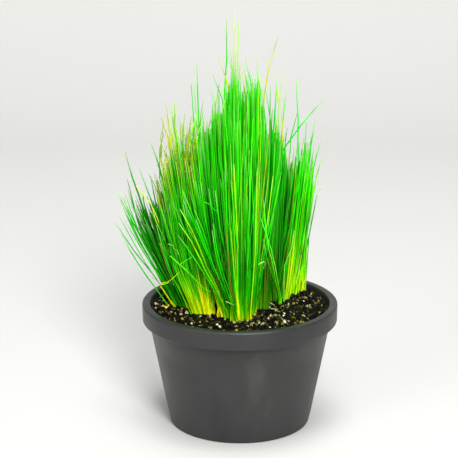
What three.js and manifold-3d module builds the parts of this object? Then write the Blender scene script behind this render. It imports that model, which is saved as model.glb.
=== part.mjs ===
// Potted hairgrass (Eleocharis minima): a dense clump of thin, leafless green stems that grow in tufts
// out of dark aquarium gravel, which is heaped in a plain round plastic pot with drain holes.
// Millimetres, +Z up. The origin is the middle of the pot's flat foot, and -Y is the clump's front.

import * as THREE from "three";
import { mergeVertices } from "three/addons/utils/BufferGeometryUtils.js";
import Module from "manifold-3d";

const gap = 0.3; // between solids that touch

// Pot
const potHeight = 46;
const rimRadius = 36;
const footRadius = 26;
const potWall = 1.8;
const potFloor = 2.2;
const collarHeight = 7;
const collarProud = 1.2;
const potEdge = 0.8; // its edges are rounded by this much
const floorFillet = 1.5;
const potSides = 36;
const drainHoles = { count: 6, radius: 2.4, ring: 15.5, sides: 8 };

// Gravel, heaped towards the middle
const gravelEdge = potHeight - 1.2;
const moundHeight = 1;
const lumpHeight = 0.55;
const gravelSides = 28;
const gravelRings = 5;

// Clump: its footprint on the gravel is an ellipse, its right end turned away from the front, and
// both ends of its front are cut back along a line
const footprint = { long: 28.5, short: 19.5, turn: 30 };
const cutBack = [
  { x: 8.7, y: -5.5, slope: 1.6 },
  { x: -13.6, y: -13.5, slope: -1.07 },
];
const tuftPitch = 3.1; // scale of the sunflower spiral that spaces the tufts
const tuftGap = 0.5;
const heightMost = 88;
const heightPeak = { x: 2, y: -6 };
const heightFall = { x: 36, y: 48 };

// How far stems lean sideways for each millimetre that they rise, by where they stand
const leanX = (x) => -0.03 + 0.0085 * x - 0.00014 * x ** 2;
const leanY = (y) => 0.02 + 0.0115 * y;
const straighten = 0.25; // share of the lean that is gone at the top

// Neighbouring tufts are drawn together at the gravel, so that they spread from it as one fan
const fans = [
  [-21, -4], [-12, -11], [0, -14], [8, -6], [15, 4], [20, 13], [-13, -1], [-2, -5], [6, 3],
  [-17, 7], [-5, 5], [3, 12], [12, 13], [-9, 14], [-1, 21], [10, 21],
].map(([x, y]) => new THREE.Vector2(x, y));
const fanDraw = 0.3; // share of the way to the fan's middle
const fanHeight = 14; // by which most of it is gone
const limeFrom = 12; // the tufts to the right of this are yellower

// Tuft: a root point in the gravel, a fluted body, and the bundles of stems that it parts into
const rootDepth = 4;
const waist = { height: 0.4, radius: 2.1 }; // where it leaves the gravel
const belly = { share: 0.42, radius: 2.8 }; // share of the way up to where it parts
const partsAtShare = { least: 0.42, more: 0.1 }; // of its height
const crotchShare = 0.93;
const groove = 0.78; // depth of the flutes, as a share of the ridges' radius
const bundleCount = 6;
const bundleReach = { least: 0.5, more: 0.2 }; // from the tuft's axis, as a share of its room
const bundleLength = { least: 0.74, more: 0.26 };
const bundleRings = [
  { share: 0.4, radius: 0.85 },
  { share: 0.75, radius: 0.5 },
];

// Long single stems that stand out of the clump: how far each tip is to the side of the pot's axis
// and how high above the top of the gravel it looks, seen from the front and from a little above
const midwayPull = 0.08;
const viewRise = Math.tan(THREE.MathUtils.degToRad(16));
const longStems = [
  [-43.9, 39], [-41.1, 47], [-41.2, 58], [-36.4, 51], [-32, 60], [-28.7, 70],
  [-26.4, 74], [-23.8, 76], [-15.4, 88], [-9.9, 85], [-7.9, 91], [-4.9, 105], [-3.2, 101],
  [-1.8, 108], [-0.7, 104], [2, 91], [6, 90], [13.4, 99], [13.3, 85], [16.6, 87], [17.6, 82],
  [20.5, 85], [31.3, 78], [28.3, 70], [30.2, 62], [23.8, 63], [30.2, 55],
];

const materials = {
  pot: new THREE.MeshStandardMaterial({ color: 0x2b2c2b, roughness: 0.5, metalness: 0 }),
  gravel: new THREE.MeshStandardMaterial({ color: 0x2c2719, roughness: 0.85, metalness: 0 }),
  green: new THREE.MeshStandardMaterial({ color: 0x2fb414, roughness: 0.45, metalness: 0 }),
  lime: new THREE.MeshStandardMaterial({ color: 0x8fd21a, roughness: 0.45, metalness: 0 }),
};

const wasm = await Module();
wasm.setup();

// A number from 0 to 1 that looks random and is the same on every run
function scatter(a, b) {
  const s = Math.sin(a * 12.9898 + b * 78.233) * 43758.5453;
  return s - Math.floor(s);
}

const between = (range, random) => range.least + range.more * random;

const onCircle = (radius, angle, z) =>
  new THREE.Vector3(radius * Math.cos(angle), radius * Math.sin(angle), z);

// A solid from a closed geometry, with its shared corners merged and its empty triangles left out
function solidFrom(geometry) {
  const bare = new THREE.BufferGeometry()
    .setAttribute("position", geometry.getAttribute("position"))
    .setIndex(geometry.index);
  const merged = mergeVertices(bare);
  const corners = [];
  for (let i = 0; i < merged.index.count; i += 3) {
    const [a, b, c] = [0, 1, 2].map((k) => merged.index.getX(i + k));
    if (a !== b && b !== c && c !== a) corners.push(a, b, c);
  }
  return new wasm.Manifold(
    new wasm.Mesh({
      numProp: 3,
      vertProperties: merged.getAttribute("position").array,
      triVerts: new Uint32Array(corners),
    }),
  );
}

function geometryFrom(solid) {
  const mesh = solid.getMesh();
  return new THREE.BufferGeometry()
    .setAttribute("position", new THREE.BufferAttribute(mesh.vertProperties, 3))
    .setIndex(new THREE.BufferAttribute(mesh.triVerts, 1));
}

// Collects the corners and faces of a closed surface, whose rings run counter-clockwise from above
class Surface {
  constructor() {
    this.points = [];
    this.faces = [];
  }
  point(p) {
    this.points.push(p.x, p.y, p.z);
    return this.points.length / 3 - 1;
  }
  ring(points) {
    return points.map((p) => this.point(p));
  }
  bridge(low, high) {
    low.forEach((a, i) => {
      const next = (i + 1) % low.length;
      this.faces.push(a, low[next], high[next], a, high[next], high[i]);
    });
  }
  capBelow(ring, apex) {
    ring.forEach((a, i) => this.faces.push(apex, ring[(i + 1) % ring.length], a));
  }
  capAbove(ring, apex) {
    ring.forEach((a, i) => this.faces.push(a, ring[(i + 1) % ring.length], apex));
  }
  geometry() {
    return new THREE.BufferGeometry()
      .setAttribute("position", new THREE.Float32BufferAttribute(this.points, 3))
      .setIndex(this.faces);
  }
}

// Pot: a turned profile that tapers to its foot, with a collar at the rim
const bodyRadiusAt = (z) =>
  THREE.MathUtils.mapLinear(z, 0, potHeight, footRadius, rimRadius - collarProud);
const innerRadiusAt = (z) => bodyRadiusAt(z) - potWall;

function makePot() {
  const collarFoot = potHeight - collarHeight;
  const profile = [
    [0, 0],
    [footRadius - potEdge, 0],
    [footRadius, potEdge],
    [bodyRadiusAt(collarFoot - potEdge), collarFoot - potEdge],
    [rimRadius - potEdge / 2, collarFoot],
    [rimRadius, potHeight - potEdge],
    [rimRadius - potEdge, potHeight],
    [innerRadiusAt(potHeight) + potEdge, potHeight],
    [innerRadiusAt(potHeight - potEdge), potHeight - potEdge],
    [innerRadiusAt(potFloor + floorFillet), potFloor + floorFillet],
    [innerRadiusAt(potFloor) - floorFillet, potFloor],
    [0, potFloor],
  ].map(([r, z]) => new THREE.Vector2(r, z));
  let pot = solidFrom(new THREE.LatheGeometry(profile, potSides).rotateX(Math.PI / 2));
  for (let i = 0; i < drainHoles.count; i++) {
    const centre = onCircle(drainHoles.ring, (i * 2 * Math.PI) / drainHoles.count, potFloor / 2);
    const { radius, sides } = drainHoles;
    const hole = new THREE.CylinderGeometry(radius, radius, 2 * potFloor, sides)
      .rotateX(Math.PI / 2)
      .translate(centre.x, centre.y, centre.z);
    pot = pot.subtract(solidFrom(hole));
  }
  return geometryFrom(pot);
}

// Gravel's height at a place, without its lumps
const gravelRadius = innerRadiusAt(gravelEdge) - gap;
const gravelTop = (x, y) => gravelEdge + moundHeight * (1 - (x * x + y * y) / gravelRadius ** 2);

// Tufts stand on a sunflower spiral, where it lies inside the footprint
function tuftPlaces() {
  const golden = Math.PI * (3 - Math.sqrt(5));
  const turn = THREE.MathUtils.degToRad(footprint.turn);
  const places = [];
  for (let k = 0; tuftPitch * Math.sqrt(k) < footprint.long; k++) {
    const reach = tuftPitch * Math.sqrt(k + 0.5);
    const at = new THREE.Vector2(reach * Math.cos(k * golden), reach * Math.sin(k * golden));
    const inEllipse = (at.x / footprint.long) ** 2 + (at.y / footprint.short) ** 2 < 1;
    at.rotateAround(new THREE.Vector2(), turn);
    const behindCuts = cutBack.every((cut) => at.y > cut.y + cut.slope * (at.x - cut.x));
    if (inEllipse && behindCuts) places.push(at);
  }
  return places;
}
const places = tuftPlaces();

const heightAt = (at) =>
  heightMost *
  (1 - ((at.x - heightPeak.x) / heightFall.x) ** 2) *
  (1 - ((at.y - heightPeak.y) / heightFall.y) ** 2);

// Where a tuft's axis is at a height above its foot: it leans out from the clump's middle,
// straightens a little as it rises, and starts nearer to the middle of its fan
function axisAt(at, height) {
  const risen = height * (1 - (straighten * height) / heightMost);
  const fan = fans.reduce((a, b) => (b.distanceTo(at) < a.distanceTo(at) ? b : a));
  return new THREE.Vector2(leanX(at.x), leanY(at.y))
    .multiplyScalar(risen)
    .add(at.clone().lerp(fan, fanDraw * Math.exp(-Math.max(height, 0) / fanHeight)));
}

const crowns = places.map((at) => axisAt(at, 0));
const footOf = (tuft) => gravelTop(crowns[tuft].x, crowns[tuft].y);

// A tuft may be as thick as half the way to its nearest neighbour at that height
function roomAt(tuft, height) {
  const here = axisAt(places[tuft], height);
  const others = places.filter((_, other) => other !== tuft);
  const nearest = Math.min(...others.map((at) => axisAt(at, height).distanceTo(here)));
  return (nearest - tuftGap) / 2;
}

// The direction in which a bundle stands from its tuft's axis, and where it runs at a height
function bundleAngle(tuft, bundle) {
  return ((bundle + 0.5) / bundleCount + scatter(tuft, 1)) * 2 * Math.PI;
}

function bundleAt(tuft, bundle, height) {
  const reach = roomAt(tuft, height) * between(bundleReach, scatter(tuft, bundle + 20));
  const offset = onCircle(reach, bundleAngle(tuft, bundle), 0);
  return axisAt(places[tuft], height).add(offset);
}

// Each long stem ends one bundle: the one whose own way up passes nearest to its tip, and rather
// one in the middle of the clump than one near its front or back
function claimLongStems() {
  const claimed = new Map();
  for (const [x, seenHeight] of longStems) {
    let best = { off: Infinity };
    for (let tuft = 0; tuft < places.length; tuft++) {
      for (let bundle = 0; bundle < bundleCount; bundle++) {
        const key = `${tuft}/${bundle}`;
        const z = gravelTop(0, 0) + seenHeight - viewRise * bundleAt(tuft, bundle, seenHeight).y;
        const passes = bundleAt(tuft, bundle, z - footOf(tuft));
        const off = Math.abs(passes.x - x) + midwayPull * Math.abs(passes.y);
        if (off < best.off && !claimed.has(key)) best = { key, off, tip: [x, passes.y, z] };
      }
    }
    claimed.set(best.key, new THREE.Vector3(...best.tip));
  }
  return claimed;
}
const claimed = claimLongStems();

const waistOf = (tuft) => Math.min(waist.radius, roomAt(tuft, waist.height));

function makeTuft(tuft) {
  const at = places[tuft];
  const foot = footOf(tuft);
  const height = heightAt(at) * (0.93 + 0.14 * scatter(tuft, 2));
  const partsAt = height * between(partsAtShare, scatter(tuft, 3));
  const surface = new Surface();
  const raised = (point, level) => new THREE.Vector3(point.x, point.y, foot + level);

  // The body's ridges carry one bundle each, with grooves between them
  const flutedRing = (level, radius) => {
    const points = Array.from({ length: 2 * bundleCount }, (_, k) => {
      const angle = bundleAngle(tuft, (k - 1) / 2);
      return onCircle(k % 2 ? radius : radius * groove, angle, 0).add(raised(axisAt(at, level), level));
    });
    return surface.ring(points);
  };
  const bellyHeight = partsAt * belly.share;
  const low = flutedRing(waist.height, waistOf(tuft));
  const middle = flutedRing(bellyHeight, Math.min(roomAt(tuft, bellyHeight), belly.radius));
  const high = flutedRing(partsAt, roomAt(tuft, partsAt));
  surface.capBelow(low, surface.point(raised(crowns[tuft], -rootDepth)));
  surface.bridge(low, middle);
  surface.bridge(middle, high);

  // Each bundle rises from the crotch, its ridge and the groove on either side of it
  const crotchHeight = partsAt * crotchShare;
  const crotch = surface.point(raised(axisAt(at, crotchHeight), crotchHeight));
  for (let bundle = 0; bundle < bundleCount; bundle++) {
    const long = claimed.get(`${tuft}/${bundle}`);
    const ownLength = height * between(bundleLength, scatter(tuft, bundle + 40));
    const tip = long ?? raised(bundleAt(tuft, bundle, ownLength), ownLength);
    const corners = [0, 1, 2].map((k) => high[(2 * bundle + k) % high.length]);
    let below = [crotch, ...corners];
    for (const { share, radius } of bundleRings) {
      const level = THREE.MathUtils.lerp(partsAt, tip.z - foot, share);
      const centre = raised(bundleAt(tuft, bundle, level), level);
      if (long) centre.lerp(raised(tip, level), share ** 2);
      const points = [2, 3, 0, 1].map((quarter) =>
        onCircle(radius, bundleAngle(tuft, bundle) + (quarter * Math.PI) / 2, 0).add(centre),
      );
      const ring = surface.ring(points);
      surface.bridge(below, ring);
      below = ring;
    }
    surface.capAbove(below, surface.point(tip));
  }
  return surface.geometry();
}

// The pocket in the gravel that a tuft's root point stands in
function makePocket(tuft) {
  const foot = footOf(tuft);
  const top = foot + 2 * lumpHeight + gap;
  const radius = 1.25 * (waistOf(tuft) + 2 * gap);
  const middle = new THREE.Vector3(crowns[tuft].x, crowns[tuft].y, 0);
  const surface = new Surface();
  const ring = surface.ring(
    Array.from({ length: 6 }, (_, k) => onCircle(radius, (k * Math.PI) / 3, top).add(middle)),
  );
  surface.capBelow(ring, surface.point(onCircle(0, 0, foot - rootDepth - 3 * gap).add(middle)));
  surface.capAbove(ring, surface.point(onCircle(0, 0, top + lumpHeight).add(middle)));
  return surface.geometry();
}

// Gravel: it fills the pot and is lumpy on top, with a pocket for every tuft
function makeGravel() {
  const surface = new Surface();
  const ringAt = (radius, heightOf) => {
    const turn = (2 * Math.PI) / gravelSides;
    return surface.ring(
      Array.from({ length: gravelSides }, (_, k) => onCircle(radius, k * turn, heightOf(k))),
    );
  };
  const bottom = potFloor + gap;
  const knee = bottom + floorFillet;
  const floorRing = ringAt(innerRadiusAt(bottom) - floorFillet - gap, () => bottom);
  let last = ringAt(innerRadiusAt(knee) - gap, () => knee);
  surface.capBelow(floorRing, surface.point(onCircle(0, 0, bottom)));
  surface.bridge(floorRing, last);
  for (let r = gravelRings; r > 0; r--) {
    const radius = (gravelRadius * r) / gravelRings;
    const lump = r < gravelRings ? lumpHeight : 0;
    const ring = ringAt(radius, (k) => gravelTop(radius, 0) + lump * (2 * scatter(r, k) - 1));
    surface.bridge(last, ring);
    last = ring;
  }
  surface.capAbove(last, surface.point(onCircle(0, 0, gravelTop(0, 0))));
  const heap = solidFrom(surface.geometry());
  return geometryFrom(
    places.reduce((rest, _, tuft) => rest.subtract(solidFrom(makePocket(tuft))), heap),
  );
}

const pottedPlant = new THREE.Group();

function add(name, geometry, material) {
  const mesh = new THREE.Mesh(geometry, material);
  mesh.name = name;
  pottedPlant.add(mesh);
}

add("pot", makePot(), materials.pot);
add("gravel", makeGravel(), materials.gravel);
places.forEach((at, tuft) => {
  const name = `tuft_${String(tuft + 1).padStart(2, "0")}`;
  add(name, makeTuft(tuft), at.x < limeFrom ? materials.green : materials.lime);
});

export default pottedPlant;
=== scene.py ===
import math
import random

import bmesh
import bpy
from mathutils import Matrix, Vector, noise


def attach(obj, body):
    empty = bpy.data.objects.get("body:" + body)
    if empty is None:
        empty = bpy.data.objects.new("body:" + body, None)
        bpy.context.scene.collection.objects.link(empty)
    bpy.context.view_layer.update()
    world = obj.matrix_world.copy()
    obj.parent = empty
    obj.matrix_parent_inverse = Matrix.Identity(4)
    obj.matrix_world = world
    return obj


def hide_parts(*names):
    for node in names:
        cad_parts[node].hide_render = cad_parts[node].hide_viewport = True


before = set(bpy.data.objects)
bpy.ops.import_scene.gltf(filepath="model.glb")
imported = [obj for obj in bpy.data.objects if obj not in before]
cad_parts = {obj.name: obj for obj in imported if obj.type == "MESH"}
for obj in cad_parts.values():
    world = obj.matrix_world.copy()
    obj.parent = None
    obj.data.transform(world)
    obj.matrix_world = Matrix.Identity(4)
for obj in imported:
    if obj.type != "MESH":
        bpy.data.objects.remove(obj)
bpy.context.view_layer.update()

# Potted hairgrass: a clump of thread-thin stems in dark gravel in a plain pot.
# Layout sizes are millimetres, as in the construction, and become metres when a mesh is made.
mm = 0.001

layout = {
    "gap": 0.3,
    "potHeight": 46,
    "rimRadius": 36,
    "footRadius": 26,
    "potWall": 1.8,
    "potFloor": 2.2,
    "floorFillet": 1.5,
    "collarHeight": 7,
    "collarProud": 1.2,
    "gravelBelowRim": 1.2,
    "moundHeight": 1,
}

clump = {
    "footprint": {"long": 28.5, "short": 19.5, "turn": 30},
    "cutBack": [{"x": 8.7, "y": -5.5, "slope": 1.6}, {"x": -13.6, "y": -13.5, "slope": -1.07}],
    "tuftPitch": 3.1,
    "tuftGap": 0.5,
    "heightMost": 88,
    "heightPeak": (2, -6),
    "heightFall": (36, 48),
    "heightSpread": (0.93, 0.14),
    "straighten": 0.25,
    "leanAcross": (-0.03, 0.0085, -0.00014),  # in the middle, and more with x and its square
    "leanDepth": (0.02, 0.0115),
    "fans": [
        (-21, -4), (-12, -11), (0, -14), (8, -6), (15, 4), (20, 13), (-13, -1), (-2, -5), (6, 3),
        (-17, 7), (-5, 5), (3, 12), (12, 13), (-9, 14), (-1, 21), (10, 21),
    ],
    "fanDraw": 0.3,
    "fanHeight": 14,
    "bundles": 6,
    "bundleReach": (0.5, 0.2),
    "bundleLength": (0.74, 0.26),
    "viewRise": math.tan(math.radians(16)),
    "midwayPull": 0.08,
    "longStems": [  # tips: to the side, and height as seen from the front
        (-43.9, 39), (-41.1, 47), (-41.2, 58), (-36.4, 51), (-32, 60), (-28.7, 70),
        (-26.4, 74), (-23.8, 76), (-15.4, 88), (-9.9, 85), (-7.9, 91), (-4.9, 105), (-3.2, 101),
        (-1.8, 108), (-0.7, 104), (2, 91), (6, 90), (13.4, 99), (13.3, 85), (16.6, 87), (17.6, 82),
        (20.5, 85), (31.3, 78), (28.3, 70), (30.2, 62), (23.8, 63), (30.2, 55),
    ],
}


def scatter(a, b):  # the construction's own repeatable random number
    s = math.sin(a * 12.9898 + b * 78.233) * 43758.5453
    return s - math.floor(s)


def between(span, share):
    return span[0] + span[1] * share


def mix(a, b, share):
    return a + (b - a) * share


def mixPair(a, b, share):
    return mix(a[0], b[0], share), mix(a[1], b[1], share)


def smooth(share):
    share = min(max(share, 0.0), 1.0)
    return share * share * (3 - 2 * share)


def bodyRadiusAt(z):
    foot, top = layout["footRadius"], layout["rimRadius"] - layout["collarProud"]
    return foot + (top - foot) / layout["potHeight"] * z


def innerRadiusAt(z):
    return bodyRadiusAt(z) - layout["potWall"]


gravelEdge = layout["potHeight"] - layout["gravelBelowRim"]
gravelRadius = innerRadiusAt(gravelEdge) - layout["gap"]


def gravelTop(x, y):
    return gravelEdge + layout["moundHeight"] * (1 - (x * x + y * y) / gravelRadius**2)


soil = gravelTop(0, 0)  # heights that the front shows start here


def tuftPlaces():
    golden = math.pi * (3 - math.sqrt(5))
    turn = math.radians(clump["footprint"]["turn"])
    long, short = clump["footprint"]["long"], clump["footprint"]["short"]
    cuts, pitch = clump["cutBack"], clump["tuftPitch"]
    places = []
    for k in range(math.ceil((long / pitch) ** 2)):
        reach = pitch * math.sqrt(k + 0.5)
        x, y = reach * math.cos(k * golden), reach * math.sin(k * golden)
        inEllipse = (x / long) ** 2 + (y / short) ** 2 < 1
        at = Vector((
            x * math.cos(turn) - y * math.sin(turn),
            x * math.sin(turn) + y * math.cos(turn),
        ))
        if inEllipse and all(at.y > cut["y"] + cut["slope"] * (at.x - cut["x"]) for cut in cuts):
            places.append(at)
    return places


places = tuftPlaces()
fanMiddles = [Vector(fan) for fan in clump["fans"]]


def heightOf(at):
    peak, fall = clump["heightPeak"], clump["heightFall"]
    return (
        clump["heightMost"]
        * (1 - ((at.x - peak[0]) / fall[0]) ** 2)
        * (1 - ((at.y - peak[1]) / fall[1]) ** 2)
    )


def axisAt(at, height):  # the middle of a tuft at a height above its foot
    risen = height * (1 - clump["straighten"] * height / clump["heightMost"])
    fan = min(fanMiddles, key=lambda middle: (middle - at).length)
    drawn = clump["fanDraw"] * math.exp(-max(height, 0) / clump["fanHeight"])
    across, depth = clump["leanAcross"], clump["leanDepth"]
    lean = Vector((across[0] + across[1] * at.x + across[2] * at.x**2, between(depth, at.y)))
    return at.lerp(fan, drawn) + lean * risen


crowns = [axisAt(at, 0) for at in places]


def footOf(tuft):
    return gravelTop(crowns[tuft].x, crowns[tuft].y)


def roomAt(tuft, height):  # half the way to the nearest neighbour
    here = axisAt(places[tuft], height)
    others = (axisAt(at, height) for k, at in enumerate(places) if k != tuft)
    return (min((other - here).length for other in others) - clump["tuftGap"]) / 2


def towards(angle):
    return Vector((math.cos(angle), math.sin(angle)))


def bundleWay(tuft, bundle):
    return towards(((bundle + 0.5) / clump["bundles"] + scatter(tuft, 1)) * 2 * math.pi)


def bundleReach(tuft, bundle):  # as a share of the tuft's room
    return between(clump["bundleReach"], scatter(tuft, bundle + 20))


def bundleAt(tuft, bundle, height):
    reach = roomAt(tuft, height) * bundleReach(tuft, bundle)
    return axisAt(places[tuft], height) + bundleWay(tuft, bundle) * reach


def claimLongStems():  # each ends the bundle that passes nearest to its tip, rather a middle one
    ends = {}
    ways = [(tuft, bundle) for tuft in range(len(places)) for bundle in range(clump["bundles"])]
    for x, seenHeight in clump["longStems"]:
        best, bestOff = None, math.inf
        for way in ways:
            if way in ends:
                continue
            z = soil + seenHeight - clump["viewRise"] * bundleAt(*way, seenHeight).y
            passes = bundleAt(*way, z - footOf(way[0]))
            off = abs(passes.x - x) + clump["midwayPull"] * abs(passes.y)
            if off < bestOff:
                best, bestOff, tip = way, off, Vector((x, passes.y, z))
        ends[best] = tip
    return ends


claimed = claimLongStems()
print("layout:", len(places), "tufts,", len(claimed), "long stems")


# Helpers for trees, meshes and materials

def newTree(name, inputs):
    tree = bpy.data.node_groups.new(name, "GeometryNodeTree")
    tree.interface.new_socket("Geometry", in_out="INPUT", socket_type="NodeSocketGeometry")
    for label, kind in inputs:
        tree.interface.new_socket(label, in_out="INPUT", socket_type="NodeSocket" + kind)
    tree.interface.new_socket("Geometry", in_out="OUTPUT", socket_type="NodeSocketGeometry")
    return tree


def addNode(tree, kind, inputs=None, **settings):
    node = tree.nodes.new(kind)
    for key, value in settings.items():
        setattr(node, key, value)
    for key, value in (inputs or {}).items():
        if isinstance(value, bpy.types.NodeSocket):
            tree.links.new(value, node.inputs[key])
        else:
            node.inputs[key].default_value = value
    return node


def useTree(piece, tree, values):  # inputs are set by identifier, before the first evaluation
    modifier = piece.modifiers.new(tree.name, "NODES")
    modifier.node_group = tree
    for item in tree.interface.items_tree:
        if item.in_out == "INPUT" and item.name in values:
            modifier[item.identifier] = values[item.name]


def endTree(tree, start, geometry):  # real geometry, with its material set
    real = addNode(tree, "GeometryNodeRealizeInstances", {"Geometry": geometry})
    coated = addNode(tree, "GeometryNodeSetMaterial", {
        "Geometry": real.outputs["Geometry"], "Material": start.outputs["Material"],
    })
    addNode(tree, "NodeGroupOutput", {"Geometry": coated.outputs["Geometry"]})


def stored(tree, name):
    node = addNode(tree, "GeometryNodeInputNamedAttribute", {"Name": name}, data_type="FLOAT")
    return node.outputs["Attribute"]


def bakeDown(pieces):  # the evaluated result becomes each piece's plain mesh
    view = bpy.context.evaluated_depsgraph_get()
    results = [
        bpy.data.meshes.new_from_object(
            piece.evaluated_get(view), preserve_all_data_layers=True, depsgraph=view
        )
        for piece in pieces
    ]
    for piece, mesh in zip(pieces, results):
        piece.modifiers.clear()
        guide = piece.data
        piece.data = mesh
        bpy.data.meshes.remove(guide)


def addObject(name, data):
    piece = bpy.data.objects.new(name, data)
    bpy.context.scene.collection.objects.link(piece)
    return piece


def circle(radius, sides):
    angles = [2 * math.pi * k / sides for k in range(sides)]
    return [(radius * math.cos(angle), radius * math.sin(angle)) for angle in angles]


def bridge(mesh, rings):  # walls from ring to ring, and a cap on the first
    for low, high in zip(rings, rings[1:]):
        for k in range(len(low)):
            after = (k + 1) % len(low)
            mesh.faces.new((low[k], low[after], high[after], high[k]))
    mesh.faces.new(list(reversed(rings[0])))


def plainMesh(name, mesh):
    plain = bpy.data.meshes.new(name)
    mesh.to_mesh(plain)
    mesh.free()
    return plain


def ramp(tree, factor, stops):
    node = addNode(tree, "ShaderNodeValToRGB", {"Fac": factor})
    while len(node.color_ramp.elements) < len(stops):
        node.color_ramp.elements.new(0.5)
    for element, (place, colour) in zip(node.color_ramp.elements, stops):
        element.position = place
        element.color = (*colour, 1)
    return node.outputs["Color"]


def mixColour(tree, factor, a, b, blend="MIX"):
    node = addNode(tree, "ShaderNodeMix", data_type="RGBA", blend_type=blend)
    for key, value in ((0, factor), (6, a), (7, b)):  # places of its factor and colours
        if isinstance(value, bpy.types.NodeSocket):
            tree.links.new(value, node.inputs[key])
        else:
            node.inputs[key].default_value = value if key == 0 else (*value, 1)
    return node.outputs[2]


def mapRange(tree, value, low, high, toLow, toHigh):
    node = addNode(tree, "ShaderNodeMapRange", {
        "Value": value, "From Min": low, "From Max": high, "To Min": toLow, "To Max": toHigh,
    })
    return node.outputs["Result"]


def attribute(tree, name):
    return addNode(tree, "ShaderNodeAttribute", attribute_name=name).outputs["Fac"]


def noiseAt(tree, scale, stretch=(1, 1, 1), detail=3.0):
    place = addNode(tree, "ShaderNodeTexCoord").outputs["Object"]
    mapping = addNode(tree, "ShaderNodeMapping", {"Vector": place, "Scale": stretch})
    return addNode(tree, "ShaderNodeTexNoise", {
        "Vector": mapping.outputs["Vector"], "Scale": scale, "Detail": detail,
    }).outputs["Fac"]


def mottled(tree, colour, grain, span):  # made lighter and darker by a noise
    light = mapRange(tree, grain, *span)
    grey = addNode(tree, "ShaderNodeCombineColor", {"Red": light, "Green": light, "Blue": light})
    return mixColour(tree, 1.0, colour, grey.outputs["Color"], "MULTIPLY")


def newMaterial(name):
    material = bpy.data.materials.new(name)
    material.use_nodes = True
    tree = material.node_tree
    return material, tree, tree.nodes["Principled BSDF"]


def addBump(tree, shader, height, strength, distance):
    bump = addNode(tree, "ShaderNodeBump", {
        "Height": height, "Strength": strength, "Distance": distance,
    })
    tree.links.new(bump.outputs["Normal"], shader.inputs["Normal"])


# Stems: colour follows attributes of the mesh. tone runs from green to lime, dryness from alive
# to straw and shade from dark to light, which is partly a stem's own darker or lighter green and
# partly painted shade and light. sheath is the yellow of the foot, and bleach a pale tip

def makeStemMaterial():
    material, tree, shader = newMaterial("hairgrassStem")
    # shade holds painted shade and light as well as each stem's own lightness
    shade = attribute(tree, "shade")
    green = ramp(tree, shade, [
        (0.0, (0.001, 0.04, 0.001)), (0.4, (0.002, 0.28, 0.001)),
        (0.75, (0.004, 0.66, 0.001)), (1.0, (0.05, 0.96, 0.004)),
    ])
    lime = ramp(tree, shade, [
        (0.0, (0.03, 0.14, 0.001)), (0.5, (0.16, 0.62, 0.001)), (1.0, (0.48, 0.95, 0.004)),
    ])
    dry = ramp(tree, shade, [
        (0.0, (0.06, 0.036, 0.004)), (0.45, (0.33, 0.27, 0.012)),
        (0.75, (0.58, 0.48, 0.02)), (1.0, (0.76, 0.7, 0.03)),
    ])
    colour = mixColour(tree, attribute(tree, "tone"), green, lime)
    colour = mixColour(tree, attribute(tree, "dryness"), colour, dry)
    sheath = attribute(tree, "sheath")
    sheathColour = ramp(tree, sheath, [
        (0.3, (0.22, 0.9, 0.002)), (0.6, (0.55, 0.95, 0.002)), (1.0, (0.98, 0.8, 0.004)),
    ])
    colour = mixColour(tree, sheath, colour, sheathColour)
    colour = mixColour(tree, attribute(tree, "bleach"), colour, (0.6, 0.62, 0.36))
    colour = mottled(tree, colour, noiseAt(tree, 420, (1, 1, 0.16)), (0.3, 0.7, 0.7, 1.25))
    tree.links.new(colour, shader.inputs["Base Color"])
    shader.inputs["Roughness"].default_value = 0.38
    shader.inputs["Specular IOR Level"].default_value = 0.07
    addBump(tree, shader, noiseAt(tree, 2600, (1, 1, 0.05)), 0.25, 0.00004)
    return material


stems = {
    "perTuft": 88,
    "radius": 0.21,
    "rootDepth": 3,
    "sheathThicker": 0.3,  # at the foot, over this share of the length
    "sheathLength": 0.1,
    "tipFrom": 0.87,
    "tipThin": 0.4,
    "sides": 6,
    "steps": [0, 0.05, 0.13, 0.24, 0.36, 0.49, 0.62, 0.75, 0.87, 0.96, 1],
    "longestStep": 12,  # along a stem that is seen singly
    "waist": 2.5,
    "spreadBy": 13,  # height at which a tuft has its full width
    "stray": 0.026,  # sideways for each millimetre of height
    "wildShare": 0.2,
    "wildStray": 0.075,
    "stragglers": 0.16,  # of a tuft's stems, which stand out of its foot by this much
    "stragglerReach": 1.5,
    "bend": 2.0,
    "longest": 1.12,  # of a tuft's height
    "shortest": 0.6,  # of its bundle's length
    "shortSeldom": 1.6,  # more makes short ones rarer
    "overTop": 4.8,  # how far random stems stand out of the mass, on average
    "tallShare": 0.05,  # of random stems, which stand out so many times as far
    "tallOver": 3,
    "leftEnd": -17,  # where stems spread further out to the left
    "leftSpread": 0.16,
    "leftMost": 0.3,
    "leftShare": 0.66,  # of the number elsewhere
    "leftThicker": 1.12,
    "rightEnd": 15,  # where they spread less, and are longer
    "rightSpread": 0.05,
    "rightLonger": 1.25,
    "thicket": (-31, -13),  # where stems that stand out of the mass come in close groups
    "thicketFeet": (-20, -6.5),
    "thicketLonger": 1.12,
    "thicketOver": 6,
    "yellowTop": (-31, -15),
    "yellowAbove": 46,
    "yellowTops": 0.65,  # share of random stems there with a dry upper part
    "thickness": (0.8, 1.15),
    "paleThinner": 0.75,
    "seed": 7,
}

litBy = {  # how a stem's colours change along it, painted shade and light among them
    "lowShade": 0.66,  # of its shade at the gravel, painted shade; highShade is painted light towards the top
    "highShade": 1.32,
    "fullLightAt": 68,
    "leftFrom": -5,  # where painted shade makes the upper parts darker, to the left
    "leftDarker": 0.7,
    "leftFade": 8,
    "evenShade": 0.65,  # that shades draw nearer to with height
    "evenness": 0.5,
    "hiddenShade": 0.4,  # painted shade of the inside of the mass, below the part that is seen
    "dryFade": 0.2,  # shares of its length
    "limeFade": 0.4,
    "limeLost": 0.9,
    "glowFull": 0.35,  # share of the sheath's reach
    "paleFrom": 0.88,
}

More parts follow.
